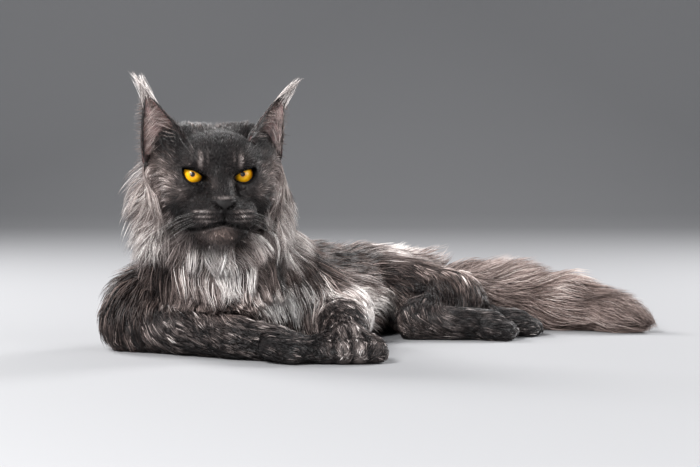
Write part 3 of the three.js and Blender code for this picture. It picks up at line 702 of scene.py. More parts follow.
    @classmethod
    def at(cls, p: Points, shares: np.ndarray) -> tuple[np.ndarray, np.ndarray]:
        """Shade and warmth of the coat.

        Args:
            p: stage points.
            shares: each region's share in each point.

        Returns:
            Shade from black to silver, and warmth from cool to pinkish brown.
        """
        base = np.array([cls.base[region.name] for region in REGIONS])
        shade, warm = (shares @ base).T
        for mark in cls.marks:
            w = mark.weight(p)
            shade = shade + (mark.shade - shade) * w
            if mark.warm is not None:
                warm = warm + (mark.warm - warm) * w
        # The clefts between the toes darken coat and skin: painted shade in the creases.
        return shade * (1 - 0.85 * toe_cleft_shade(p)), warm


def shares_of(p: Points, soft: float = 7.0) -> np.ndarray:
    """How much each region owns each point, by how near its skin is."""
    found = {id(region.skin): region.skin for region in REGIONS}
    read = {key: form(p) for key, form in found.items()}
    gaps = np.stack([read[id(region.skin)] for region in REGIONS], axis=1)
    w = np.exp(-(gaps - gaps.min(1, keepdims=True)) / soft)
    cheek = cheek_share(p)
    w[:, 0] *= 1 - cheek
    w[:, 1] *= cheek
    return w / w.sum(1, keepdims=True)


def along_lead(p: Points, region: Region) -> np.ndarray:
    """How far down the first bone of a region each point lies: 0 at its root, 1 past its middle."""
    start, end = (np.array(spot) for spot in region.lead[0])
    run = end - start
    return ramp((p - start) @ run / (run @ run), -0.1, 0.6)


def lie_of(p: Points, normals: Points, shares: np.ndarray) -> Points:
    """Which way the hair lies at each root, before its own weight bends it.

    Args:
        p: the roots.
        normals: the skin's outward directions.
        shares: each region's share.

    Returns:
        Unit directions along the skin.
    """
    total = np.zeros_like(p)
    for k, region in enumerate(REGIONS):
        if region.name == "face":
            q = stage_to_head(p)
            back = unit(p - NOSE_AT)
            sweep = np.array([0.0, 0.25, -0.9]) * ramp(-q[:, 2], 5, 60)[:, None]
            lie = back + sweep + np.array([0.0, 0.5, 0.0])
        elif region.name == "cheek":
            q = stage_to_head(p)
            low = ramp(-q[:, 2], -12, 55)
            side = np.clip(q[:, 0] / 34, -1, 1)
            lie = np.stack([side * (1.1 - 0.6 * low), 0.4 * np.ones(len(q)), -0.35 - 0.8 * low], axis=1)
            lie = head_to_stage(unit(lie)) - HEAD_AT
        else:
            lie = np.zeros_like(p)
            for start, end in region.lead:
                a, run = np.array(start), np.subtract(end, start)
                t = np.clip((p - a) @ run / (run @ run), 0, 1)[:, None]
                out = p - a - t * run
                near = 1 / (np.linalg.norm(out, axis=1, keepdims=True) ** 2 + 60)
                lie += near * (unit(run) + region.spread * unit(out))
            lie = unit(lie)
            if region.droop:
                lie = lie - np.array([0, 0, region.droop]) * (1 - along_lead(p, region))[:, None]
        total += shares[:, k : k + 1] * unit(lie)
    total -= normals * (total * normals).sum(1, keepdims=True)
    return unit(total + 1e-6)


# Fur


@dataclass
class Strands:
    """Bent hairs, each a path of points from root to tip, with its own width and colour."""

    path: np.ndarray  # strands x rings x 3
    side: np.ndarray  # strands x 3, the way each is flattened
    width: np.ndarray
    uv: np.ndarray
    shade: np.ndarray
    warm: np.ndarray

    patch = 0.003  # how far across each hair's place on the bake map is
    kept = ("path", "side", "width", "uv", "shade", "warm")

    def mesh(self, name: str) -> bpy.types.Mesh:
        """The hairs as one mesh of closed, tapered, three-sided strands.

        Args:
            name: the mesh's name.

        Returns:
            The mesh, in metres, with its bake map and colour attributes.
        """
        n, rings, _ = self.path.shape
        t = np.linspace(0, 1, rings)
        along = unit(np.gradient(self.path, axis=1))
        across = unit(np.cross(along, np.broadcast_to(self.side[:, None], along.shape)))
        over = np.cross(across, along)
        half = (self.width[:, None] / 2) * np.sqrt(np.clip(1 - t**1.6, 0, 1)) * (0.75 + 0.25 * np.sin(t * 3.1))
        corners = []
        for turn in (90, 210, 330):
            c, s = math.cos(math.radians(turn)), math.sin(math.radians(turn))
            corners.append(self.path + half[..., None] * (c * across + 0.7 * s * over))
        body = np.stack(corners, axis=2)[:, :-1].reshape(n, -1, 3)
        verts = np.concatenate([body, self.path[:, -1:]], axis=1)
        faces = [(2, 1, 0)]
        for r in range(rings - 2):
            for k in range(3):
                a, b = 3 * r + k, 3 * r + (k + 1) % 3
                faces += [(a, b, b + 3), (a, b + 3, a + 3)]
        last = 3 * (rings - 2)
        faces += [(last + k, last + (k + 1) % 3, last + 3) for k in range(3)]
        count = verts.shape[1]
        index = (np.array(faces)[None] + np.arange(n)[:, None, None] * count).reshape(-1, 3)
        made = bpy.data.meshes.new(name)
        made.vertices.add(n * count)
        made.vertices.foreach_set("co", to_row(verts.reshape(-1, 3)).astype(np.float32).ravel())
        made.loops.add(index.size)
        made.loops.foreach_set("vertex_index", index.astype(np.int32).ravel())
        made.polygons.add(len(index))
        made.polygons.foreach_set("loop_start", np.arange(0, index.size, 3, dtype=np.int32))
        level = np.append(np.repeat(t[:-1], 3), 1.0)
        turn = np.append(np.tile([0, 0.5, 1], rings - 1), 0.5)
        spot = self.uv[:, None] + self.patch * np.stack([turn - 0.5, level - 0.5], axis=1)[None]
        uv = made.uv_layers.new(name="OFBake")
        uv.data.foreach_set("uv", spot.reshape(-1, 2)[index.ravel()].astype(np.float32).ravel())
        made.update(calc_edges=True)
        made.validate()
        Placed.write(made, "shade", np.repeat(self.shade, count))
        Placed.write(made, "warm", np.repeat(self.warm, count))
        Placed.write(made, "along", np.tile(level, n))
        return made


class Fur:
    """Grows the coat over the skin, region by region."""

    wisp_share = 3.2  # how many times nearer together wisps stand than locks
    frosting = 0.34  # how much paler a frosted wisp is
    lowest = 0.6  # the lowest that a hair comes, above the floor, in mm
    step_most = 14.0  # how far a hair is drawn to its level at one ring, in mm

    def __init__(self, skin: "Skin") -> None:
        """Reads the skin's faces, from which the roots are drawn."""
        self.skin = skin

    def roots(self, density: np.ndarray, seed: int) -> tuple[Points, Points, np.ndarray]:
        """Random places on the skin.

        Args:
            density: strands a square mm for each triangle.
            seed: the start of the random numbers.

        Returns:
            Places, outward directions and places on the skin's unwrap.
        """
        rng = np.random.default_rng(seed)
        total = self.skin.areas * density
        count = int(total.sum())
        edges = np.cumsum(total)
        chosen = np.searchsorted(edges, (np.arange(count) + rng.random(count)) / count * edges[-1])
        chosen = np.minimum(chosen, len(total) - 1)
        u, v = rng.random((2, count))
        flip = u + v > 1
        u[flip], v[flip] = 1 - u[flip], 1 - v[flip]
        w = np.stack([1 - u - v, u, v], axis=1)[..., None]
        corners = self.skin.corners[chosen]
        return (
            (self.skin.points[corners] * w).sum(1),
            unit((self.skin.normals[corners] * w).sum(1)),
            (self.skin.uv[chosen] * w).sum(1),
        )

    def grow(self, region: Region, index: int, seed: int) -> Strands:
        """The fur of one region.

        Args:
            region: how it grows.
            index: its place in the list.
            seed: the start of its random numbers.

        Returns:
            Its strands.
        """
        rng = np.random.default_rng(seed)
        own = self.skin.shares[:, index]
        under = 1 - 0.65 * ramp(-self.skin.rise, 0.2, 0.8)
        dense = region.density / 100 * ramp(own, 0.2, 0.5) * (1 - self.skin.bare) * self.skin.open * under
        p, normals, uv = self.roots(dense, seed)
        n = len(p)
        shares = shares_of(p)
        lie = lie_of(p, normals, shares)
        sizes = np.array([[r.length, r.width, r.fall, r.curl] for r in REGIONS])
        length, width, fall, curl = (shares @ sizes).T
        q = stage_to_head(p)
        if region.name == "face":
            grown = 0.5 + 0.6 * ramp(q[:, 1], -20, 10) + 1.2 * ramp(q[:, 1], 14, 44)
            grown *= 1 + 1.0 * ramp(np.abs(q[:, 0]), 30, 52)
            length = 7.0 * grown
            width = region.width * (0.8 + 0.5 * ramp(q[:, 1], 0, 40))
        if region.name == "cheek":
            length = region.length * (0.45 + 0.55 * ramp(np.abs(q[:, 0]) + 0.5 * q[:, 1], 34, 66))
        if region.name == "ruff":
            length = np.minimum(length, 0.9 * (p[:, 2] - 62) + 16)
        if region.name == "thorax":
            front = ramp(-p[:, 1], -50, -20) * ramp(p[:, 0], -190, -170)
            short = np.clip(0.8 * (p[:, 2] - 58) + 16, 12, 60) * rng.uniform(0.55, 1.5, n)
            length = length + (np.minimum(length, short) - length) * front
        if region.root_length:
            length = length + (region.root_length - region.length) * (1 - along_lead(p, region))
        tips = np.array([toe.end[:3] for toes in TOES for toe in toes])
        near = np.exp(-((np.linalg.norm(p[:, None] - tips[None], axis=2).min(1) / 24) ** 2))
        length = np.maximum(length * (1 - 0.55 * near), 4) * rng.uniform(0.72, 1.12, n)
        across = np.cross(normals, lie)
        heading = unit(lie + across * rng.normal(0, 0.12, n)[:, None])
        locks = self.gather(p, normals, region.density, region.lock, rng)
        wisps = self.gather(p, normals, region.density, region.lock / self.wisp_share, rng)
        locks = locks[wisps]
        ridge = np.exp(-((np.linalg.norm(p[wisps] - p[locks], axis=1) / (0.5 * region.lock)) ** 2))
        top = (0.5 + 0.5 * ridge) * (1 - 0.45 * rng.random(n) ** 2)
        reach = 1 - (1 - top) * region.sunk
        path = self.march(p, heading, length, fall * rng.uniform(0.6, 1.4, n), reach, region)
        t = np.linspace(0, 1, region.rings)
        free = path
        path = free + (free[wisps] - free) * (region.clump * t**1.1)[None, :, None]
        path += (free[locks] - free[wisps]) * (0.5 * region.clump * t**1.5)[None, :, None]
        speed, phase = rng.uniform(4.5, 8.5, n)[locks], rng.uniform(0, 6.28, n)[locks]
        tone = rng.normal(0, 1, n)
        wave = np.sin(t[None] * (speed * rng.uniform(0.94, 1.06, n))[:, None] + phase[:, None])
        swing = (wave - np.sin(phase)[:, None]) * (curl * length * 0.2)[:, None]
        path += across[locks][:, None] * swing[..., None]
        path += rng.normal(0, 1, path.shape) * (0.01 * length)[:, None, None] * t[None, :, None]
        path[..., 2] = np.maximum(path[..., 2], self.lowest)
        shade, warm = Markings.at(0.55 * p + 0.45 * path[:, -1], shares)
        loud = region.contrast * (0.06 + 0.12 * shade) * (1 - 0.5 * ramp(shade, 0.55, 1.1))
        shade = shade + loud * (0.55 * tone[locks] + 0.45 * tone[wisps] + rng.normal(0, 0.55, n))
        shade = shade + self.frosting * (rng.random(n)[wisps] < region.frost)
        # Hair lower in the coat and between the locks is darker: painted shade of the coat's depth.
        shade = np.clip(shade * (0.45 + 0.55 * top) * (0.7 + 0.3 * ridge) * 1.16, 0, 1)
        return Strands(path, normals, width * rng.uniform(0.75, 1.2, n), uv, shade, warm)

    def march(
        self, p: Points, heading: Points, length: np.ndarray, fall: np.ndarray, reach: np.ndarray,
        region: Region,
    ) -> np.ndarray:
        """Leads each hair over the body while it rises from the skin towards the coat's outline.

        Args:
            p: roots.
            heading: first directions.
            length: each hair's length.
            fall: how far its weight bends it.
            reach: the share of the coat's depth that it rises through.
            region: gives the points on each path and how soon it rises.

        Returns:
            Paths, strands x rings x 3.
        """
        spots = [p.copy()]
        place, heading = p.copy(), heading.copy()
        rings = region.rings
        bend = 4 / (rings - 1)
        for ring in range(1, rings):
            share = reach * (ring / (rings - 1)) ** region.rise
            place = place + heading * (length / (rings - 1))[:, None]

            def level(q: Points, share: np.ndarray = share) -> np.ndarray:
                """Distance to the surface at this share of the coat's depth."""
                inner, outer = Body.both(q)
                return inner + share * (outer - inner)

            normal, value = slope(level, place)
            place = place - normal * np.clip(value, -self.step_most, self.step_most)[:, None]
            place[:, 2] = np.maximum(place[:, 2], self.lowest)
            heading = heading + np.array([0, 0, -bend]) * fall[:, None]
            heading = unit(heading - 0.85 * normal * (heading * normal).sum(1, keepdims=True))
            spots.append(place.copy())
        return np.stack(spots, axis=1)

    @staticmethod
    def gather(p: Points, normals: Points, density: float, size: float, rng: np.random.Generator) -> np.ndarray:
        """Which strand leads each strand's lock.

        Args:
            p: roots.
            normals: their outward directions.
            density: strands a square centimetre.
            size: how far apart the leaders stand, in mm.
            rng: random numbers.

        Returns:
            The leader's number for each strand.
        """
        count = int(np.clip(len(p) / (density / 100 * size * size), 1, len(p)))
        leaders = rng.choice(len(p), count, replace=False)
        tree = kdtree.KDTree(count)
        keys = p + normals * 12
        for k, leader in enumerate(leaders):
            tree.insert(Vector(keys[leader]), k)
        tree.balance()
        return np.array([leaders[tree.find(Vector(key))[1]] for key in keys])


# Skin


class Skin:
    """One skin over the whole body, with its sockets, nose, mouth and nostrils."""

    voxel = 3.0

    def __init__(self) -> None:
        """Wraps the skin and reads back what the fur needs of it."""
        self.mesh = self.wrapped()
        self.refine((-75, -math.inf, -80), (75, 60, 60))
        self.refine((-40, -math.inf, -64), (40, 8, 16))
        self.carve_face()
        self.read()

    def wrapped(self) -> bpy.types.Mesh:
        """Balls for every bone and pad, melted into one surface and drawn onto the field."""
        bm = bmesh.new()
        for region in REGIONS:
            for centre, radii in region.skin.balls():
                stretch = Matrix.Translation(Vector(centre)) @ Matrix.Diagonal((*radii, 1.0))
                bmesh.ops.create_icosphere(bm, subdivisions=3, radius=1.0, matrix=stretch)
        mesh = bpy.data.meshes.new("skin")
        bm.to_mesh(mesh)
        bm.free()
        carrier = bpy.data.objects.new("skin_form", mesh)
        bpy.context.scene.collection.objects.link(carrier)
        remesh = carrier.modifiers.new("one surface", "REMESH")
        remesh.mode = "VOXEL"
        remesh.voxel_size = self.voxel
        made = bpy.data.meshes.new_from_object(carrier.evaluated_get(bpy.context.evaluated_depsgraph_get()))
        bpy.data.objects.remove(carrier)
        for _ in range(3):
            self.settle(made)
            self.relax(made)
        self.settle(made)
        return made

    def settle(self, mesh: bpy.types.Mesh) -> None:
        """Draws every vertex onto the body's form and keeps it above the floor."""

        def onto(p: Points) -> Points:
            """The nearest places on the form."""
            for _ in range(2):
                normal, value = slope(Body.skin, p)
                p = p - normal * np.clip(value, -8, 8)[:, None]
            p[:, 2] = np.maximum(p[:, 2], FLOOR_SKIN)
            return p

        Placed.move(mesh, onto)

    def relax(self, mesh: bpy.types.Mesh) -> None:
        """Evens out the faces."""
        bm = bmesh.new()
        bm.from_mesh(mesh)
        bmesh.ops.smooth_vert(bm, verts=bm.verts, factor=0.5, use_axis_x=True, use_axis_y=True, use_axis_z=True)
        bm.to_mesh(mesh)
        bm.free()

    def refine(self, low: tuple[float, float, float], high: tuple[float, float, float]) -> None:
        """Halves the faces in one box of the head's frame.

        Args:
            low: the box's lowest corner.
            high: its highest corner.
        """
        q = stage_to_head(Placed.points(self.mesh))
        inside = ((q > low) & (q < high)).all(axis=1)
        bm = bmesh.new()
        bm.from_mesh(self.mesh)
        bm.verts.ensure_lookup_table()
        edges = [e for e in bm.edges if inside[e.verts[0].index] and inside[e.verts[1].index]]
        bmesh.ops.subdivide_edges(bm, edges=edges, cuts=1, use_grid_fill=True)
        bm.to_mesh(self.mesh)
        bm.free()
        self.settle(self.mesh)

    @staticmethod
    def gap_to(q: Points, spots: Sequence[tuple[float, float]]) -> np.ndarray:
        """Distance in the face's own plane from each point to a line through spots."""
        best = np.full(len(q), 1e9)
        xz = q[:, [0, 2]]
        for a, b in zip(spots, spots[1:]):
            a, run = np.array(a), np.subtract(b, a)
            t = np.clip((xz - a) @ run / (run @ run), 0, 1)
            best = np.minimum(best, np.linalg.norm(xz - a - t[:, None] * run, axis=1))
        return best

    def carve_face(self) -> None:
        """Presses in the mouth line, philtrum, nostrils and eye sockets, and notes what is bare."""
        p = Placed.points(self.mesh)
        q = stage_to_head(p)
        ahead = ramp(-q[:, 1], -6, 2)
        q[:, 0] = np.abs(q[:, 0])
        normal, _ = slope(Body.skin, p)
        mouth = self.gap_to(q, ((0, -45.5), (11, -48.5), (23, -51.5), (31, -53)))
        lip = self.gap_to(q, ((0, -34), (0, -46)))
        nostril = self.gap_to(q, ((4.2, -32.5), (7.6, -30.8), (10.4, -27.6)))
        wing = self.gap_to(q, ((10.0, -33.6), (13.4, -29.4), (13.2, -24.5)))
        press = 2.6 * np.exp(-((mouth / 1.5) ** 2)) + 1.7 * np.exp(-((lip / 1.2) ** 2))
        press += 6.0 * np.exp(-((nostril / 1.9) ** 2)) + 1.2 * np.exp(-((wing / 1.2) ** 2))
        press -= 1.0 * np.exp(-(((mouth - 3.4) / 1.8) ** 2))
        x, z = q[:, 0] - EYE_SPACING / 2, q[:, 2]
        hole = self.almond_gap(x, z) < 1.6
        press = press * ahead
        p = p - normal * press[:, None]
        socket = hole & (q[:, 1] < 20)
        back = stage_to_head(p)
        back[socket, 1] += 12
        p[socket] = head_to_stage(back[socket])
        Placed.move(self.mesh, lambda _: p)
        leather = 1 - ramp(np.hypot(q[:, 0] / 12.5, (q[:, 2] + 28.6) / 6.2), 0.8, 1.02)
        leather = np.maximum(leather, 1 - ramp(np.hypot(q[:, 0] / 6.5, (q[:, 2] + 33.6) / 4.6), 0.75, 1.0))
        # The leather share falls to nothing in the nostrils, which take the ramp's blacker stop: painted shade
        # in the nostril pits.
        self.leather = leather * ahead * (q[:, 1] < -20) * (1 - np.exp(-((nostril / 2.0) ** 2)))
        lips = np.exp(-((mouth / 1.9) ** 2)) + np.exp(-((lip / 1.3) ** 2)) + np.exp(-((nostril / 2.2) ** 2))
        rims = 1 - ramp(self.almond_gap(x, z), 2.4, 4.2)
        self.bare_points = np.clip(np.maximum.reduce([self.leather, lips * ahead, rims * (q[:, 1] < 20)]), 0, 1)

    @classmethod
    def almond_gap(cls, x: np.ndarray, z: np.ndarray) -> np.ndarray:
        """How far points beside the eye lie outside the lids' opening, negative inside."""
        edge = cls.opening(64)
        best = np.full(len(x), 1e9)
        turns = np.zeros(len(x))
        for a, b in zip(edge, np.roll(edge, -1, axis=0)):
            run = b - a
            t = np.clip(((x - a[0]) * run[0] + (z - a[1]) * run[1]) / (run @ run), 0, 1)
            best = np.minimum(best, np.hypot(x - a[0] - t * run[0], z - a[1] - t * run[1]))
            va, vb = np.arctan2(a[1] - z, a[0] - x), np.arctan2(b[1] - z, b[0] - x)
            turns += (vb - va + np.pi) % (2 * np.pi) - np.pi
        return np.where(np.abs(turns) > np.pi, -best, best)

    @classmethod
    def opening(cls, count: int) -> np.ndarray:
        """The edge of the gap between the lids: x outward and z up from the pupil."""
        arcs = (
            ((-10.8, -2.6), (-1, 6.6), (10.2, 6.0)),
            ((10.2, 6.0), (9.8, -4.2), (2, -6.9)),
            ((2, -6.9), (-5.5, -7.6), (-10.8, -2.6)),
        )
        made = []
        for arc, share in zip(arcs, (0.4, 0.25, 0.35)):
            steps = int(count * share)
            for k in range(steps):
                t = k / steps
                a, b, c = (np.array(spot) for spot in arc)
                made.append((1 - t) ** 2 * a + 2 * t * (1 - t) * b + t * t * c)
        return np.array(made)

    def read(self) -> None:
        """Keeps the skin's faces, directions, unwrap and regions for the fur to grow from."""
        bm = bmesh.new()
        bm.from_mesh(self.mesh)
        bmesh.ops.triangulate(bm, faces=bm.faces)
        bm.to_mesh(self.mesh)
        bm.free()
        Placed.write(self.mesh, "bare", self.bare_points)
        Placed.write(self.mesh, "leather", self.leather)
        self.unwrap()
        self.points = Placed.points(self.mesh)
        count = len(self.mesh.polygons)
        corners = np.empty(count * 3, np.int32)
        self.mesh.loops.foreach_get("vertex_index", corners)
        self.corners = corners.reshape(-1, 3)
        a, b, c = (self.points[self.corners[:, k]] for k in range(3))
        face = np.cross(b - a, c - a)
        self.areas = np.linalg.norm(face, axis=1) / 2
        self.normals = np.zeros_like(self.points)
        for k in range(3):
            np.add.at(self.normals, self.corners[:, k], face)
        self.normals = unit(self.normals)
        self.uv = np.empty(count * 6, np.float32)
        self.mesh.uv_layers["OFBake"].data.foreach_get("uv", self.uv)
        self.uv = self.uv.reshape(-1, 3, 2)
        self.rise = unit(face)[:, 2]
        middle = (a + b + c) / 3
        self.shares = shares_of(middle)
        self.bare = self.bare_points[self.corners].mean(1)
        self.open = (middle[:, 2] > FLOOR_SKIN + 0.8).astype(float)
        shares = shares_of(self.points)
        shade, warm = Markings.at(self.points, shares)
        Placed.write(self.mesh, "shade", shade)
        Placed.write(self.mesh, "warm", warm)

    def unwrap(self) -> None:
        """Lays the skin flat in islands of its own shape."""
        carrier = bpy.data.objects.new("skin_flat", self.mesh)
        bpy.context.scene.collection.objects.link(carrier)
        bpy.context.view_layer.objects.active = carrier
        carrier.select_set(True)
        self.mesh.uv_layers.new(name="OFBake")
        bpy.ops.object.mode_set(mode="EDIT")
        bpy.ops.mesh.select_all(action="SELECT")
        bpy.ops.uv.smart_project(angle_limit=math.radians(66), island_margin=0.002)
        bpy.ops.object.mode_set(mode="OBJECT")
        bpy.data.objects.remove(carrier)


# Ears


@dataclass(frozen=True)
class Ear:
    """One ear: a cupped sheet, its pale inner hair and the lynx tuft on its tip."""

    name: str
    root: tuple[float, float, float]
    tip: tuple[float, float, float]
    facing: tuple[float, float, float]
    tufts: tuple[tuple[float, float, float], ...]
    half_width: float = 27.0
    cup: float = 0.4
    bend: tuple[float, float] = (1.45, 0.75)
    wall: tuple[float, float] = (2.4, 1.2)

    def axes(self) -> tuple[Points, Points, Points, Points, float]:
        """Base, up, face and across of the ear in the stage frame, and its height."""
        base, tip = (head_to_stage(np.array([spot], float))[0] for spot in (self.root, self.tip))
        height = float(np.linalg.norm(tip - base))
        up = (tip - base) / height
        face = head_to_stage(np.array([self.facing]))[0] - HEAD_AT
        face = unit(face - up * (face @ up))
        return base, up, face, np.cross(up, face), height

    def sheet(self, u: np.ndarray, rise: np.ndarray, out: np.ndarray) -> Points:
        """Places on the ear's cup.

        Args:
            u: across, from -1 at one rim to 1 at the other.
            rise: 0 at the root, 1 at the tip.
            out: how far out of the middle of its wall, towards the back, in walls.

        Returns:
            Stage points.
        """
        base, up, face, across, height = self.axes()
        narrowing = np.clip(1 - rise, 0, 1) ** 1.05 * (0.86 + 0.5 * rise)
        half = self.half_width * narrowing + 1.2
        bend = self.bend[0] + (self.bend[1] - self.bend[0]) * rise
        wall = self.wall[0] + (self.wall[1] - self.wall[0]) * rise
        middle = half / np.sin(bend)
        radius = middle + out * wall * np.sqrt(np.clip(1 - u**8, 0, 1))
        low = np.clip(1 - rise, 0, 1)
        lift = 7 * low**2 * u * u - 9 * low - 8 * low**5 * u**8 + height * rise
        return (
            base
            - face * self.half_width * self.cup
            + lift[:, None] * up
            + (radius * np.sin(u * bend))[:, None] * across
            + (middle - radius * np.cos(u * bend))[:, None] * face
        )

    def skin_mesh(self) -> bpy.types.Mesh:
        """The cup as a closed sheet, thin at the rim."""
        bm = bmesh.new()
        bmesh.ops.create_grid(bm, x_segments=26, y_segments=30, size=1.0)
        made = bmesh.ops.extrude_face_region(bm, geom=list(bm.faces))
        lifted = [v for v in made["geom"] if isinstance(v, bmesh.types.BMVert)]
        bmesh.ops.translate(bm, verts=lifted, vec=(0, 0, 1))
        bmesh.ops.recalc_face_normals(bm, faces=bm.faces)
        mesh = bpy.data.meshes.new(self.name)
        bm.to_mesh(mesh)
        bm.free()
        Placed.move(mesh, lambda p: self.sheet(p[:, 0], (p[:, 1] + 1) / 2, 0.5 - p[:, 2]))
        bm = bmesh.new()
        bm.from_mesh(mesh)
        bmesh.ops.recalc_face_normals(bm, faces=bm.faces)
        bm.to_mesh(mesh)
        bm.free()
        return mesh

    def normals(self, u: np.ndarray, rise: np.ndarray) -> tuple[Points, Points]:
        """Outward directions of the back of the ear, and the way its hair lies."""
        at = self.sheet(u, rise, np.zeros_like(u))
        du = self.sheet(u + 0.01, rise, np.zeros_like(u)) - at
        dr = self.sheet(u, rise + 0.01, np.zeros_like(u)) - at
        _, _, face, _, _ = self.axes()
        normal = unit(np.cross(du, dr))
        flip = np.where((normal @ face) > 0, -1.0, 1.0)
        return normal * flip[:, None], unit(dr)

    def fur(self, seed: int) -> tuple[Strands, Strands]:
        """Short hair on the back and rims, and long hair inside with the tuft on the tip.

        Args:
            seed: the start of its random numbers.

        Returns:
            The short hair and the long.
        """
        rng = np.random.default_rng(seed)
        _, main, face, across, _ = self.axes()
        n = 1900
        u, rise = rng.uniform(-1, 1, n), rng.random(n) ** 1.25 * 0.98
        back, up = self.normals(u, rise)
        root = self.sheet(u, rise, np.full(n, 0.4))
        short = [self.hairs(rng, root, unit(up + 0.25 * back), back, 7.5, 0.6, 0.08, 0.5, 0.0)]
        n = 900
        edge = np.where(rng.random(n) < 0.5, -1.0, 1.0) * rng.uniform(0.9, 1.0, n)
        rise = rng.random(n) ** 0.9 * 0.98
        back, up = self.normals(edge, rise)
        inward = unit(-np.sign(edge)[:, None] * across) * (1 - rise)[:, None]
        root = self.sheet(edge, rise, np.zeros(n))
        lie = unit(up + 0.35 * inward + 0.1 * face)
        short.append(self.hairs(rng, root, lie, back, 7, 0.55, 0.08, 0.5, 0.0))
        n = 900
        u, rise = rng.uniform(-0.95, 0.95, n), rng.random(n) ** 1.1 * 0.92
        back, up = self.normals(u, rise)
        root = self.sheet(u, rise, np.full(n, -0.45))
        lie = unit(0.22 * main - self.inner_side() * across + rng.normal(0, 0.16, (n, 3)))
        short.append(self.hairs(rng, root, lie, -back, 10, 0.34, 0.4, 0.9, 0.15))
        n = 150
        edge = np.where(rng.random(n) < 0.7, -1.0, 1.0) * self.inner_side()
        u = edge * rng.uniform(0.62, 0.98, n)
        rise = rng.uniform(0.04, 0.66, n)
        back, up = self.normals(u, rise)
        root = self.sheet(u, rise, np.full(n, -0.4))
        lie = unit(0.5 * main - 1.0 * np.sign(u)[:, None] * across + 0.4 * face + rng.normal(0, 0.14, (n, 3)))
        long = [self.hairs(rng, root, lie, -back, 22, 0.34, 0.6, 0.6, 0.2)]
        n = 420
        u, rise = self.inner_side() * rng.uniform(-0.72, 0.95, n), rng.uniform(0.0, 0.1, n)
        back, up = self.normals(u, rise)
        root = self.sheet(u, rise, np.full(n, -0.5))
        lie = unit(0.5 * face - 0.45 * self.inner_side() * across - 0.4 * main + rng.normal(0, 0.22, (n, 3)))
        long.append(self.hairs(rng, root, lie, -back, 12, 0.7, 0.1, 0.5, 0.2))
        n = 260
        u, rise = self.inner_side() * rng.uniform(0.72, 1.0, n), rng.uniform(0.0, 0.34, n)
        back, up = self.normals(u, rise)
        root = self.sheet(u, rise, np.full(n, -0.2))
        lie = unit(0.9 * main + 0.35 * face - 0.3 * self.inner_side() * across + rng.normal(0, 0.2, (n, 3)))
        long.append(self.hairs(rng, root, lie, -back, 13, 0.6, 0.1, 0.5, 0.2))
        for spot in self.tufts:
            long.append(self.tuft(rng, np.array(spot)))
        return join_strands(short), join_strands(long)

    def inner_side(self) -> float:
        """Which rim is nearer the middle of the head: the long inner hair grows from it."""
        _, _, _, across, _ = self.axes()
        return -1.0 if (across @ np.array([1.0, 0, 0])) * self.root[0] > 0 else 1.0

    def hairs(
        self, rng: np.random.Generator, root: Points, lie: Points, normal: Points, length: float,
        width: float, shade: float, warm: float, curl: float,
    ) -> Strands:
        """One kind of hair on the ear.

        Args:
            rng: random numbers.
            root: places on the ear.
            lie: which way each hair points.
            normal: which way it faces.
            length: its usual length in mm.
            width: its usual thickness in mm.
            shade: how pale it is.
            warm: how brown it is.
            curl: how far it bends aside.

        Returns:
            The strands.
        """
        n = len(root)
        rings = 3 if length < 12 else 5
        t = np.linspace(0, 1, rings)
        reach = length * rng.uniform(0.6, 1.15, n)
        aside = np.cross(normal, lie) * rng.normal(0, 1, (n, 1))
        path = root[:, None] + lie[:, None] * (reach[:, None] * t)[..., None]
        path += (aside * curl)[:, None] * (reach[:, None] * t**2)[..., None]
        path -= normal[:, None] * (0.12 * reach[:, None] * t**2)[..., None]
        tone = np.clip(shade + rng.normal(0, 0.12, n), 0, 1)
        uv = 0.5 + (root - root.mean(0))[:, [0, 2]] / 110
        return Strands(path, normal, width * rng.uniform(0.7, 1.2, n), uv, tone, np.full(n, warm))

    def tuft(self, rng: np.random.Generator, end: np.ndarray) -> Strands:
        """Hairs that run on from the tip and gather to a point."""
        n = 70
        rise = rng.uniform(0.72, 1.0, n)
        u = rng.uniform(-0.9, 0.9, n)
        root = self.sheet(u, rise, np.full(n, 0.2))
        tip = head_to_stage(end[None])[0] + rng.normal(0, 1.6, (n, 3))
        _, up, face, _, _ = self.axes()
        t = np.linspace(0, 1, 5)[None, :, None]
        bend = root + up * np.linalg.norm(tip - root, axis=1, keepdims=True) * 0.42
        path = (1 - t) ** 2 * root[:, None] + 2 * t * (1 - t) * bend[:, None] + t**2 * tip[:, None]
        path = root[:, None] + (path - root[:, None]) * rng.uniform(0.62, 1.05, n)[:, None, None]
        tone = np.clip(rng.normal(0.78, 0.2, n), 0.1, 1)
        uv = 0.5 + (root - root.mean(0))[:, [0, 2]] / 60
        width = rng.uniform(0.45, 0.8, n)
        return Strands(path, np.broadcast_to(face, root.shape), width, uv, tone, np.full(n, 0.3))


def join_strands(parts: Sequence[Strands]) -> Strands:
    """Several lots of hair as one, all with the most rings of any.

    Args:
        parts: the lots.

    Returns:
        One lot.
    """
    rings = max(part.path.shape[1] for part in parts)
    paths = []
    for part in parts:
        old, new = np.linspace(0, 1, part.path.shape[1]), np.linspace(0, 1, rings)
        low = np.clip(np.searchsorted(old, new, side="right") - 1, 0, len(old) - 2)
        share = ((new - old[low]) / (old[low + 1] - old[low]))[None, :, None]
        paths.append(part.path[:, low] * (1 - share) + part.path[:, low + 1] * share)
    rest = (np.concatenate([getattr(part, name) for part in parts]) for name in Strands.kept[1:])
    return Strands(np.concatenate(paths), *rest)


EARS = (
    Ear("ear_right_skin", (-50, 31, 26), (-67, 36, 81), (-0.1, -1, 0.05), ((-82, 38, 102), (-73, 38, 100))),
    Ear("ear_left_skin", (47, 30, 27), (78, 40, 79), (0.62, -0.8, 0.1), ((90, 43, 97), (84, 42, 93))),
)


# Eyes, lids, whiskers and claws


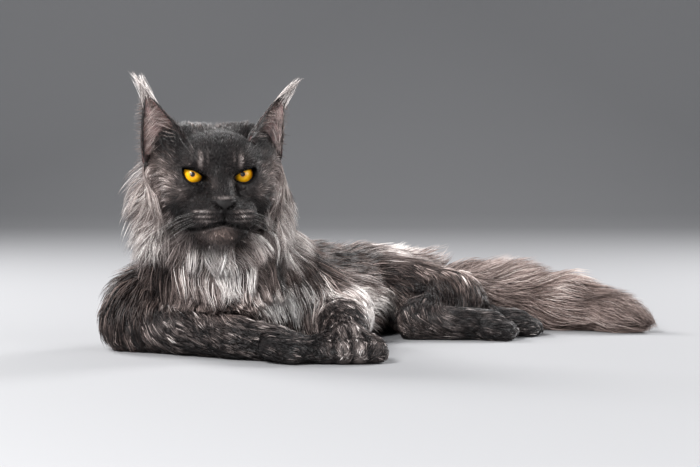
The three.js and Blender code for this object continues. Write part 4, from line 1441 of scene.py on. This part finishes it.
@dataclass
class Face:
    """The eyes with their lids, and the whiskers."""

    iris: float = 9.7
    pupil: float = 2.2
    bulge: float = 0.9
    lid_profile: tuple[tuple[float, float], ...] = (
        (0.0, 0.1), (-0.35, 0.55), (-0.1, 1.15), (0.8, 1.75), (2.2, 2.2), (4.0, 2.1), (6.0, 0.6), (6.6, -1.2),
        (3.0, -0.9),
    )

    def gaze(self, hand: int) -> tuple[Points, Points]:
        """An eyeball's centre and the way it looks, which is at the camera."""
        centre = head_to_stage(np.array([[hand * EYE_SPACING / 2, EYE_DEEP, 0.0]]))[0]
        return centre, unit(unit(CAMERA_AT - centre) + [0, 0, 0.07])

    def eyeball(self, hand: int) -> bpy.types.Mesh:
        """A ball with the clear bulge of the cornea in front, its pole where it looks."""
        centre, ahead = self.gaze(hand)
        bm = bmesh.new()
        bmesh.ops.create_uvsphere(bm, u_segments=64, v_segments=48, radius=EYEBALL)
        mesh = bpy.data.meshes.new(f"eyeball_{hand}")
        bm.to_mesh(mesh)
        bm.free()
        turn = np.array(Vector((0, 0, 1)).rotation_difference(Vector(ahead)).to_matrix())
        rim = np.empty(0)

        def shaped(p: Points) -> Points:
            """Bulges the front and turns the ball to its gaze."""
            nonlocal rim
            rim = np.where(p[:, 2] > 0, np.hypot(p[:, 0], p[:, 1]), EYEBALL)
            out = self.bulge * np.clip(1 - (rim / (self.iris + 0.6)) ** 2, 0, 1)
            return (p * (1 + out / EYEBALL)[:, None]) @ turn.T + centre

        Placed.move(mesh, shaped)
        Placed.write(mesh, "from_pupil", rim)
        flat = (Placed.points(mesh) - centre) @ turn
        Placed.write(mesh, "round_pupil", np.arctan2(flat[:, 1], flat[:, 0]) / (2 * math.pi) + 0.5)
        Placed.move(mesh, to_row)
        return mesh

    def lids(self, hand: int) -> bpy.types.Mesh:
        """Upper and lower lid as one rolled ring round the opening."""
        edge = Skin.opening(72)
        bm = bmesh.new()
        bmesh.ops.create_grid(bm, x_segments=len(edge), y_segments=len(self.lid_profile), size=1.0)
        mesh = bpy.data.meshes.new(f"lids_{hand}")
        bm.to_mesh(mesh)
        bm.free()
        run = np.roll(edge, -1, axis=0) - np.roll(edge, 1, axis=0)
        out = np.stack([run[:, 1], -run[:, 0]], axis=1)
        out = unit(out)
        middle = edge.mean(0)
        if ((edge - middle) * out).sum() < 0:
            out = -out
        for _ in range(6):
            out = unit(out + np.roll(out, 1, axis=0) + np.roll(out, -1, axis=0))
        profile = np.array(self.lid_profile)

        def rolled(p: Points) -> Points:
            """Each vertex at its place round the opening and across the lid."""
            k = np.round((p[:, 0] + 1) / 2 * len(edge)).astype(int) % len(edge)
            row = np.round((p[:, 1] + 1) / 2 * len(profile)).astype(int) % len(profile)
            spot = edge[k] + out[k] * profile[row, 0:1]
            radius = EYEBALL + profile[row, 1]
            deep = np.sqrt(np.maximum(radius**2 - (spot**2).sum(1), 4.0))
            q = np.stack([hand * (EYE_SPACING / 2 + spot[:, 0]), EYE_DEEP - deep, spot[:, 1]], axis=1)
            return to_row(head_to_stage(q))

        Placed.move(mesh, rolled)
        bm = bmesh.new()
        bm.from_mesh(mesh)
        bmesh.ops.remove_doubles(bm, verts=bm.verts, dist=0.00002)
        bmesh.ops.recalc_face_normals(bm, faces=bm.faces)
        bm.to_mesh(mesh)
        bm.free()
        return mesh

    def whiskers(self) -> Strands:
        """Stiff hairs in rows on the whisker pads, and a few over each eye."""
        rng = np.random.default_rng(5)
        roots, paths, widths = [], [], []
        for hand in (-1, 1):
            for row in range(3):
                for k in range(3):
                    x, z = 14.0 + 4.2 * k + rng.normal(0, 0.5), -35.5 - 3.4 * row + rng.normal(0, 0.5)
                    way = np.array([1.0, 0.3 + 0.2 * k, 0.1 - 0.12 * row])
                    roots.append((hand * x, z, way * [hand, 1, 1], rng.uniform(40, 70), -0.9))
            for k in range(2):
                way = np.array([0.6 + 0.25 * k, 0.1, 1.0])
                roots.append((hand * (21 + 4 * k), 16 + k, way * [hand, 1, 1], rng.uniform(18, 26), 0.2))
        for x, z, way, length, sag in roots:
            start = np.array([[x, -60.0, z]])
            for _ in range(40):
                start[:, 1] += HEAD(head_to_stage(start)) * 0.7
            start = start[0] + [0, 1.0, 0]
            t = np.linspace(0, 1, 9)[:, None]
            line = start + unit(way) * length * t + np.array([0, 0, sag * length * 0.5]) * t**2
            paths.append(head_to_stage(line))
            widths.append(0.2)
        path = np.stack(paths)
        n = len(path)
        uv = np.random.default_rng(2).uniform(0.1, 0.9, (n, 2))
        side = np.broadcast_to(np.array([0.0, -1.0, 0.0]), (n, 3))
        return Strands(path, side, np.array(widths), uv, np.full(n, 0.85), np.full(n, 0.1))


@dataclass
class Claws:
    """The tips of the front claws, hardly showing between the toe hairs."""

    length: float = 5.0
    width: float = 2.0

    def mesh(self) -> bpy.types.Mesh:
        """Every claw, each a tapered hook."""
        bm = bmesh.new()
        for toe in (toe for toes in TOES for toe in toes):
            a, b = np.array(toe.start[:3]), np.array(toe.end[:3])
            ahead = unit((b - a) * [1, 1, 0])
            at = b + ahead * (toe.end[3] - 1.5) + [0, 0, -2.5]
            aim = Vector(ahead + [0, 0, -0.75]).normalized()
            turn = Vector((0, 0, 1)).rotation_difference(aim).to_matrix().to_4x4()
            place = Matrix.Translation(Vector(at)) @ turn
            bmesh.ops.create_cone(
                bm, cap_ends=True, segments=8, radius1=self.width / 2, radius2=0.15, depth=self.length,
                matrix=place,
            )
        mesh = bpy.data.meshes.new("claws")
        bm.to_mesh(mesh)
        bm.free()
        Placed.move(mesh, to_row)
        return mesh


# Finishes


def linear(hex_colour: int) -> tuple[float, float, float, float]:
    """An sRGB hex value as the linear colour that shaders take."""
    channels = [((hex_colour >> s) & 255) / 255 for s in (16, 8, 0)]
    made = [c / 12.92 if c <= 0.04045 else ((c + 0.055) / 1.055) ** 2.4 for c in channels]
    return (*made, 1.0)


class Nodes:
    """A material's node tree while it is being wired."""

    def __init__(self, name: str) -> None:
        """Starts an empty tree with its output."""
        self.material = bpy.data.materials.new(name)
        self.material.use_nodes = True
        self.tree = self.material.node_tree
        self.tree.nodes.clear()

    def add(self, kind: str, settings: dict | None = None, **inputs: object) -> bpy.types.Node:
        """Adds a node with its settings and links.

        Args:
            kind: the node's type.
            settings: its own properties, and as stops the places and hex colours of its colour ramp.
            inputs: a value or an output socket for each input, by its name with _ for each space, or
                by its number after _ where names repeat.

        Returns:
            The node.
        """
        node = self.tree.nodes.new(kind)
        for key, value in (settings or {}).items():
            if key == "stops":
                while len(node.color_ramp.elements) < len(value):
                    node.color_ramp.elements.new(0.5)
                for element, (place, colour) in zip(node.color_ramp.elements, value):
                    element.position = place
                    element.color = linear(colour)
            else:
                setattr(node, key, value)
        for key, value in inputs.items():
            names = [s for s in node.inputs if s.name.replace(" ", "_") == key and s.enabled]
            socket = names[0] if names else node.inputs[int(key.strip("_"))]
            if isinstance(value, bpy.types.NodeSocket):
                self.tree.links.new(value, socket)
            else:
                socket.default_value = value
        return node

    def finish(self, **shader: object) -> bpy.types.Material:
        """Wires the shader and its output."""
        made = self.add("ShaderNodeBsdfPrincipled", None, **shader)
        self.add("ShaderNodeOutputMaterial", Surface=made.outputs["BSDF"])
        return self.material


@dataclass(frozen=True)
class SmokeFur:
    """Black smoke guard hair: silver or black by its markings, with painted shade darker towards the root, and
    a waxy gloss.

    Cool stops are for the mask, legs and ruff, warm ones for the rusted hair of trunk and tail.
    """

    # Keratin's IOR with a low sheen gives the eye soft streaks of light along the locks, not wet ones.
    name: str = "guard hair, black smoke"
    cool: tuple[tuple[float, int], ...] = (
        (0.0, 0x0A090A), (0.2, 0x221F20), (0.5, 0x6B6665), (0.78, 0xBDB8B6), (1.0, 0xF4F2F0),
    )
    warm: tuple[tuple[float, int], ...] = (
        (0.0, 0x0E0A0A), (0.2, 0x2F2421), (0.5, 0x7C6962), (0.78, 0xC2ACA4), (1.0, 0xEFE3DC),
    )
    roughness: float = 0.46
    blotch_mm: float = 24.0
    hair_mm: float = 1.2  # coarser than the real 0.1 mm hair, so that it shows
    pore_mm: float = 0.9  # the pebbles of the nose leather, a little coarser than the real ones

    def build(self, bare: bool) -> bpy.types.Material:
        """Makes the material.

        Args:
            bare: True for the skin under the fur, which also shows leather and lips.

        Returns:
            The material.
        """
        n = Nodes(self.name if not bare else "cat skin under short fur")
        shade = n.add("ShaderNodeAttribute", {"attribute_name": "shade"})
        warm = n.add("ShaderNodeAttribute", {"attribute_name": "warm"})
        where = n.add("ShaderNodeTexCoord").outputs["Object"]
        blotch = n.add("ShaderNodeTexNoise", Vector=where, Scale=1000 / self.blotch_mm, Detail=3.0)
        spread = {"operation": "MULTIPLY_ADD"}
        nudge = n.add("ShaderNodeMath", spread, _0=blotch.outputs["Fac"], _1=0.16, _2=-0.08)
        toned = n.add("ShaderNodeMath", {"operation": "ADD"}, _0=shade.outputs["Fac"], _1=nudge.outputs[0])
        if not bare:
            along = n.add("ShaderNodeAttribute", {"attribute_name": "along"}).outputs["Fac"]
            # Darker towards the root: painted shade deep in the coat.
            root = n.add("ShaderNodeMapRange", Value=along, From_Max=0.45, To_Min=-0.2, To_Max=0.0)
            clamped = {"operation": "ADD", "use_clamp": True}
            toned = n.add("ShaderNodeMath", clamped, _0=toned.outputs[0], _1=root.outputs[0])
        cool = n.add("ShaderNodeValToRGB", {"stops": self.cool}, Fac=toned.outputs[0]).outputs["Color"]
        rust = n.add("ShaderNodeValToRGB", {"stops": self.warm}, Fac=toned.outputs[0]).outputs["Color"]
        colours = {"data_type": "RGBA"}
        colour = n.add("ShaderNodeMix", colours, _0=warm.outputs["Fac"], _6=cool, _7=rust).outputs[2]
        if not bare:
            return n.finish(Base_Color=colour, Roughness=self.roughness, IOR=1.55, Specular_IOR_Level=0.4)
        hair = n.add("ShaderNodeTexNoise", Vector=where, Scale=1000 / self.hair_mm, Detail=2.0)
        colour = n.add("ShaderNodeMix", colours, _0=0.55, _6=colour, _7=linear(0x1D1B1B)).outputs[2]
        wet = n.add("ShaderNodeAttribute", {"attribute_name": "leather"}).outputs["Fac"]
        # The blacker stop is the own black of lips and lid rims, and painted shade in the nostril pits.
        leather = n.add("ShaderNodeValToRGB", {"stops": ((0.0, 0x050404), (1.0, 0x131111))}, Fac=wet)
        shows = n.add("ShaderNodeAttribute", {"attribute_name": "bare"}).outputs["Fac"]
        colour = n.add("ShaderNodeMix", colours, _0=shows, _6=colour, _7=leather.outputs["Color"]).outputs[2]
        grain = n.add("ShaderNodeTexVoronoi", Vector=where, Scale=1000 / self.pore_mm).outputs["Distance"]
        rise = n.add("ShaderNodeMix", {"data_type": "FLOAT"}, _0=wet, _2=hair.outputs["Fac"], _3=grain)
        bump = n.add("ShaderNodeBump", Strength=0.5, Distance=0.0006, Height=rise.outputs[0])
        return n.finish(
            Base_Color=colour, Roughness=0.55, IOR=1.4, Specular_IOR_Level=0.25, Normal=bump.outputs["Normal"]
        )


@dataclass(frozen=True)
class EarLeather:
    """Thin bare skin inside the ear: pinkish grey, faintly veined."""

    # Light that passes a little way through gives the eye a warm, soft inner ear.
    name: str = "thin ear skin"
    vein_mm: float = 9.0
    crease_mm: float = 0.8

    def build(self) -> bpy.types.Material:
        """Makes the material."""
        n = Nodes(self.name)
        where = n.add("ShaderNodeTexCoord").outputs["Object"]
        veins = n.add("ShaderNodeTexNoise", Vector=where, Scale=1000 / self.vein_mm, Detail=4.0, Distortion=1.4)
        stops = ((0.3, 0x3E3030), (0.55, 0x6B5452), (0.75, 0x86706C))
        colour = n.add("ShaderNodeValToRGB", {"stops": stops}, Fac=veins.outputs["Fac"])
        fine = n.add("ShaderNodeTexNoise", Vector=where, Scale=1000 / self.crease_mm, Detail=2.0)
        bump = n.add("ShaderNodeBump", Strength=0.3, Distance=0.0003, Height=fine.outputs["Fac"])
        return n.finish(
            Base_Color=colour.outputs["Color"], Roughness=0.55, Subsurface_Weight=0.15,
            Subsurface_Radius=(0.004, 0.0015, 0.001), Normal=bump.outputs["Normal"],
        )


@dataclass(frozen=True)
class AmberEye:
    """A wet eyeball: amber iris with fine spokes, black rim and round pupil under a clear cornea."""

    # The clear coat shows as the one sharp glint on the animal, over a deep, even amber.
    iris: float
    pupil: float
    name: str = "wet amber eye"
    amber: tuple[tuple[float, int], ...] = ((0.0, 0xDC9008), (0.3, 0xF4BE18), (0.7, 0xE8A40A), (1.0, 0x9C5604))
    spokes: tuple[tuple[float, int], ...] = ((0.3, 0xD08A20), (0.6, 0xFFFFFF))

    def build(self) -> bpy.types.Material:
        """Makes the material."""
        n = Nodes(self.name)
        out = n.add("ShaderNodeAttribute", {"attribute_name": "from_pupil"}).outputs["Fac"]
        turn = n.add("ShaderNodeAttribute", {"attribute_name": "round_pupil"}).outputs["Fac"]
        polar = n.add("ShaderNodeCombineXYZ", X=turn, Y=out)
        stretch = n.add("ShaderNodeMapping", Vector=polar.outputs[0], Scale=(38.0, 0.35, 1.0))
        streak = n.add("ShaderNodeTexNoise", Vector=stretch.outputs[0], Scale=1.0, Detail=3.0)
        inner = n.add("ShaderNodeMapRange", Value=out, From_Min=self.pupil, From_Max=self.iris)
        amber = n.add("ShaderNodeValToRGB", {"stops": self.amber}, Fac=inner.outputs[0]).outputs["Color"]
        spokes = n.add("ShaderNodeValToRGB", {"stops": self.spokes}, Fac=streak.outputs["Fac"]).outputs["Color"]
        darker = {"data_type": "RGBA", "blend_type": "MULTIPLY"}
        amber = n.add("ShaderNodeMix", darker, _0=0.35, _6=amber, _7=spokes).outputs[2]
        rim = n.add("ShaderNodeMapRange", Value=out, From_Min=self.iris - 0.5, From_Max=self.iris + 0.15)
        colours = {"data_type": "RGBA"}
        colour = n.add("ShaderNodeMix", colours, _0=rim.outputs[0], _6=amber, _7=linear(0x0B0807)).outputs[2]
        hole = n.add("ShaderNodeMapRange", Value=out, From_Min=self.pupil - 0.15, From_Max=self.pupil + 0.25)
        colour = n.add("ShaderNodeMix", colours, _0=hole.outputs[0], _6=linear(0x030303), _7=colour).outputs[2]
        return n.finish(
            Base_Color=colour, Roughness=0.35, Coat_Weight=1.0, Coat_Roughness=0.03, Coat_IOR=1.38, IOR=1.38
        )


@dataclass(frozen=True)
class Horn:
    """Claw horn: translucent grey brown, polished."""

    # A smooth gloss gives the eye hard small points between the matt toe hairs.
    name: str = "claw horn"
    layer_mm: float = 1.5

    def build(self) -> bpy.types.Material:
        """Makes the material."""
        n = Nodes(self.name)
        where = n.add("ShaderNodeTexCoord").outputs["Object"]
        layers = n.add("ShaderNodeTexNoise", Vector=where, Scale=1000 / self.layer_mm, Detail=2.0)
        stops = ((0.35, 0x2A2522), (0.7, 0x6A5E52))
        colour = n.add("ShaderNodeValToRGB", {"stops": stops}, Fac=layers.outputs["Fac"])
        return n.finish(Base_Color=colour.outputs["Color"], Roughness=0.28, IOR=1.55)


@dataclass(frozen=True)
class Whisker:
    """Whisker: stiff, smooth hair, dark at the root and paler to the tip."""

    # It gives the eye a fine clean line that stands clear of the fur.
    name: str = "whisker"

    def build(self) -> bpy.types.Material:
        """Makes the material."""
        n = Nodes(self.name)
        along = n.add("ShaderNodeAttribute", {"attribute_name": "along"}).outputs["Fac"]
        stops = ((0.0, 0x2E2C2B), (0.3, 0x726F6D), (1.0, 0xA8A5A2))
        colour = n.add("ShaderNodeValToRGB", {"stops": stops}, Fac=along)
        return n.finish(Base_Color=colour.outputs["Color"], Roughness=0.4, IOR=1.55)


class Studio:
    """Pale floor, soft lights and the camera at the photo's angle."""

    class Panel(Enum):
        """Each soft light: place, aim and side in metres, and watts."""

        KEY = ((-1.1, -1.9, 1.8), (-0.1, 0.0, 0.12), 0.8, 108.0)
        FILL = ((1.6, -1.6, 1.0), (0.1, 0.0, 0.1), 1.6, 30.0)
        CATCH = ((-0.62, -2.3, 0.72), (-0.13, -0.05, 0.18), 0.2, 16.0)
        RIM_RIGHT = ((1.5, 1.1, 1.2), (0.0, 0.1, 0.15), 0.8, 55.0)
        RIM_LEFT = ((-1.4, 1.0, 1.3), (-0.1, 0.0, 0.18), 0.8, 60.0)

    def floor(self) -> None:
        """A wide plain sheet that curves up far behind."""
        bm = bmesh.new()
        bmesh.ops.create_grid(bm, x_segments=4, y_segments=40, size=1.0)
        mesh = bpy.data.meshes.new("floor")
        bm.to_mesh(mesh)
        bm.free()

        def swept(p: Points) -> Points:
            """Flat to the front and a wall behind, with a wide bend between."""
            run = (p[:, 1] + 1) / 2 * 12 - 5
            bend, radius = 2.6, 1.4
            turn = np.clip((run - bend) / radius, 0, math.pi / 2)
            past = np.maximum(run - bend - radius * math.pi / 2, 0)
            y = np.minimum(run, bend) + radius * np.sin(turn)
            return np.stack([p[:, 0] * 6, y, radius * (1 - np.cos(turn)) + past], axis=1)

        Placed.move(mesh, swept)
        made = bpy.data.objects.new("floor", mesh)
        bpy.context.scene.collection.objects.link(made)
        mesh.shade_smooth()
        n = Nodes("plain pale paper")
        mesh.materials.append(n.finish(Base_Color=linear(0x8C8C8E), Roughness=0.8))

    def light(self) -> None:
        """Soft panels and an even sky."""
        for panel in self.Panel:
            at, aim, side, watts = panel.value
            data = bpy.data.lights.new(panel.name.lower(), "AREA")
            data.energy, data.size = watts, side
            lamp = bpy.data.objects.new(panel.name.lower(), data)
            lamp.location = at
            lamp.rotation_euler = (Vector(aim) - Vector(at)).to_track_quat("-Z", "Y").to_euler()
            bpy.context.scene.collection.objects.link(lamp)
        world = bpy.data.worlds.new("even sky")
        world.use_nodes = True
        back = world.node_tree.nodes["Background"]
        back.inputs["Color"].default_value = linear(0xC8CCD2)
        back.inputs["Strength"].default_value = 0.3
        bpy.context.scene.world = world
        bpy.context.scene.view_settings.view_transform = "Standard"

    def camera(self) -> None:
        """The photo's camera: long lens, a quarter of a metre up and looking slightly down."""
        data = bpy.data.cameras.new("camera")
        data.lens, data.sensor_width = 36 * 2500 / 700, 36  # 2500 pixels for a width of 700
        made = bpy.data.objects.new("camera", data)
        made.location = to_row(CAMERA_AT[None])[0]
        made.rotation_euler = (math.radians(90 - 2.942), 0, 0)
        data.clip_end = 50
        bpy.context.scene.collection.objects.link(made)
        bpy.context.scene.camera = made


MOST_FACES = 195_000  # of one coat piece


def main() -> None:
    """Builds the cat, dresses it and sets the studio round it."""
    logging.basicConfig(level=logging.INFO, format="%(name)s %(message)s")
    thin = 1.0
    studio = Studio()
    studio.floor()
    studio.light()
    studio.camera()
    finish = SmokeFur()
    fur_material, skin_material = finish.build(False), finish.build(True)
    skin = Skin()
    fur = Fur(skin)
    nodes = [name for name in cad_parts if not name.startswith("eye")]
    Placed.move(skin.mesh, to_row)
    body = Placed.add("skin", skin.mesh, skin_material)
    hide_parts(*[name for name in nodes if not name.startswith("ear")])
    for k, region in enumerate(REGIONS):
        region = replace(region, density=region.density * thin)
        strands = fur.grow(region, k, 100 + k)
        n, rings, _ = strands.path.shape
        faces = 6 * (rings - 2) + 4
        parts = max(1, math.ceil(n * faces / MOST_FACES))
        log.info("%s: %d strands", region.name, n)
        for part in range(parts):
            some = slice(part * n // parts, (part + 1) * n // parts)
            cut = Strands(*(getattr(strands, kept)[some] for kept in Strands.kept))
            name = f"coat_{region.name}_{part + 1}" if parts > 1 else f"coat_{region.name}"
            coat = Placed.add(name, cut.mesh(name), fur_material)
    ear_material = EarLeather().build()
    for ear, node in zip(EARS, ("ear_right", "ear_left")):
        mesh = ear.skin_mesh()
        Placed.move(mesh, to_row)
        piece = Placed.add(ear.name, mesh, ear_material)
        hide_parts(node)
        for hair, name in zip(ear.fur(7 + len(ear.name)), (node + "_fur", node + "_tuft")):
            Placed.add(name, hair.mesh(name), fur_material)
    face = Face()
    eye_material = AmberEye(face.iris, face.pupil).build()
    for hand, side in ((-1, "right"), (1, "left")):
        ball = Placed.add(f"eyeball_{side}", face.eyeball(hand), eye_material)
        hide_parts(f"eye_{side}")
        lids = face.lids(hand)
        for name, value in (("bare", 1.0), ("leather", 0.0), ("shade", 0.0), ("warm", 0.0)):
            Placed.write(lids, name, np.full(len(lids.vertices), value))
        Placed.add(f"lids_{side}", lids, skin_material)
    Placed.add("whiskers", face.whiskers().mesh("whiskers"), Whisker().build())
    Placed.add("claws", Claws().mesh(), Horn().build())
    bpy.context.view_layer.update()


if __name__ == "__main__":
    main()
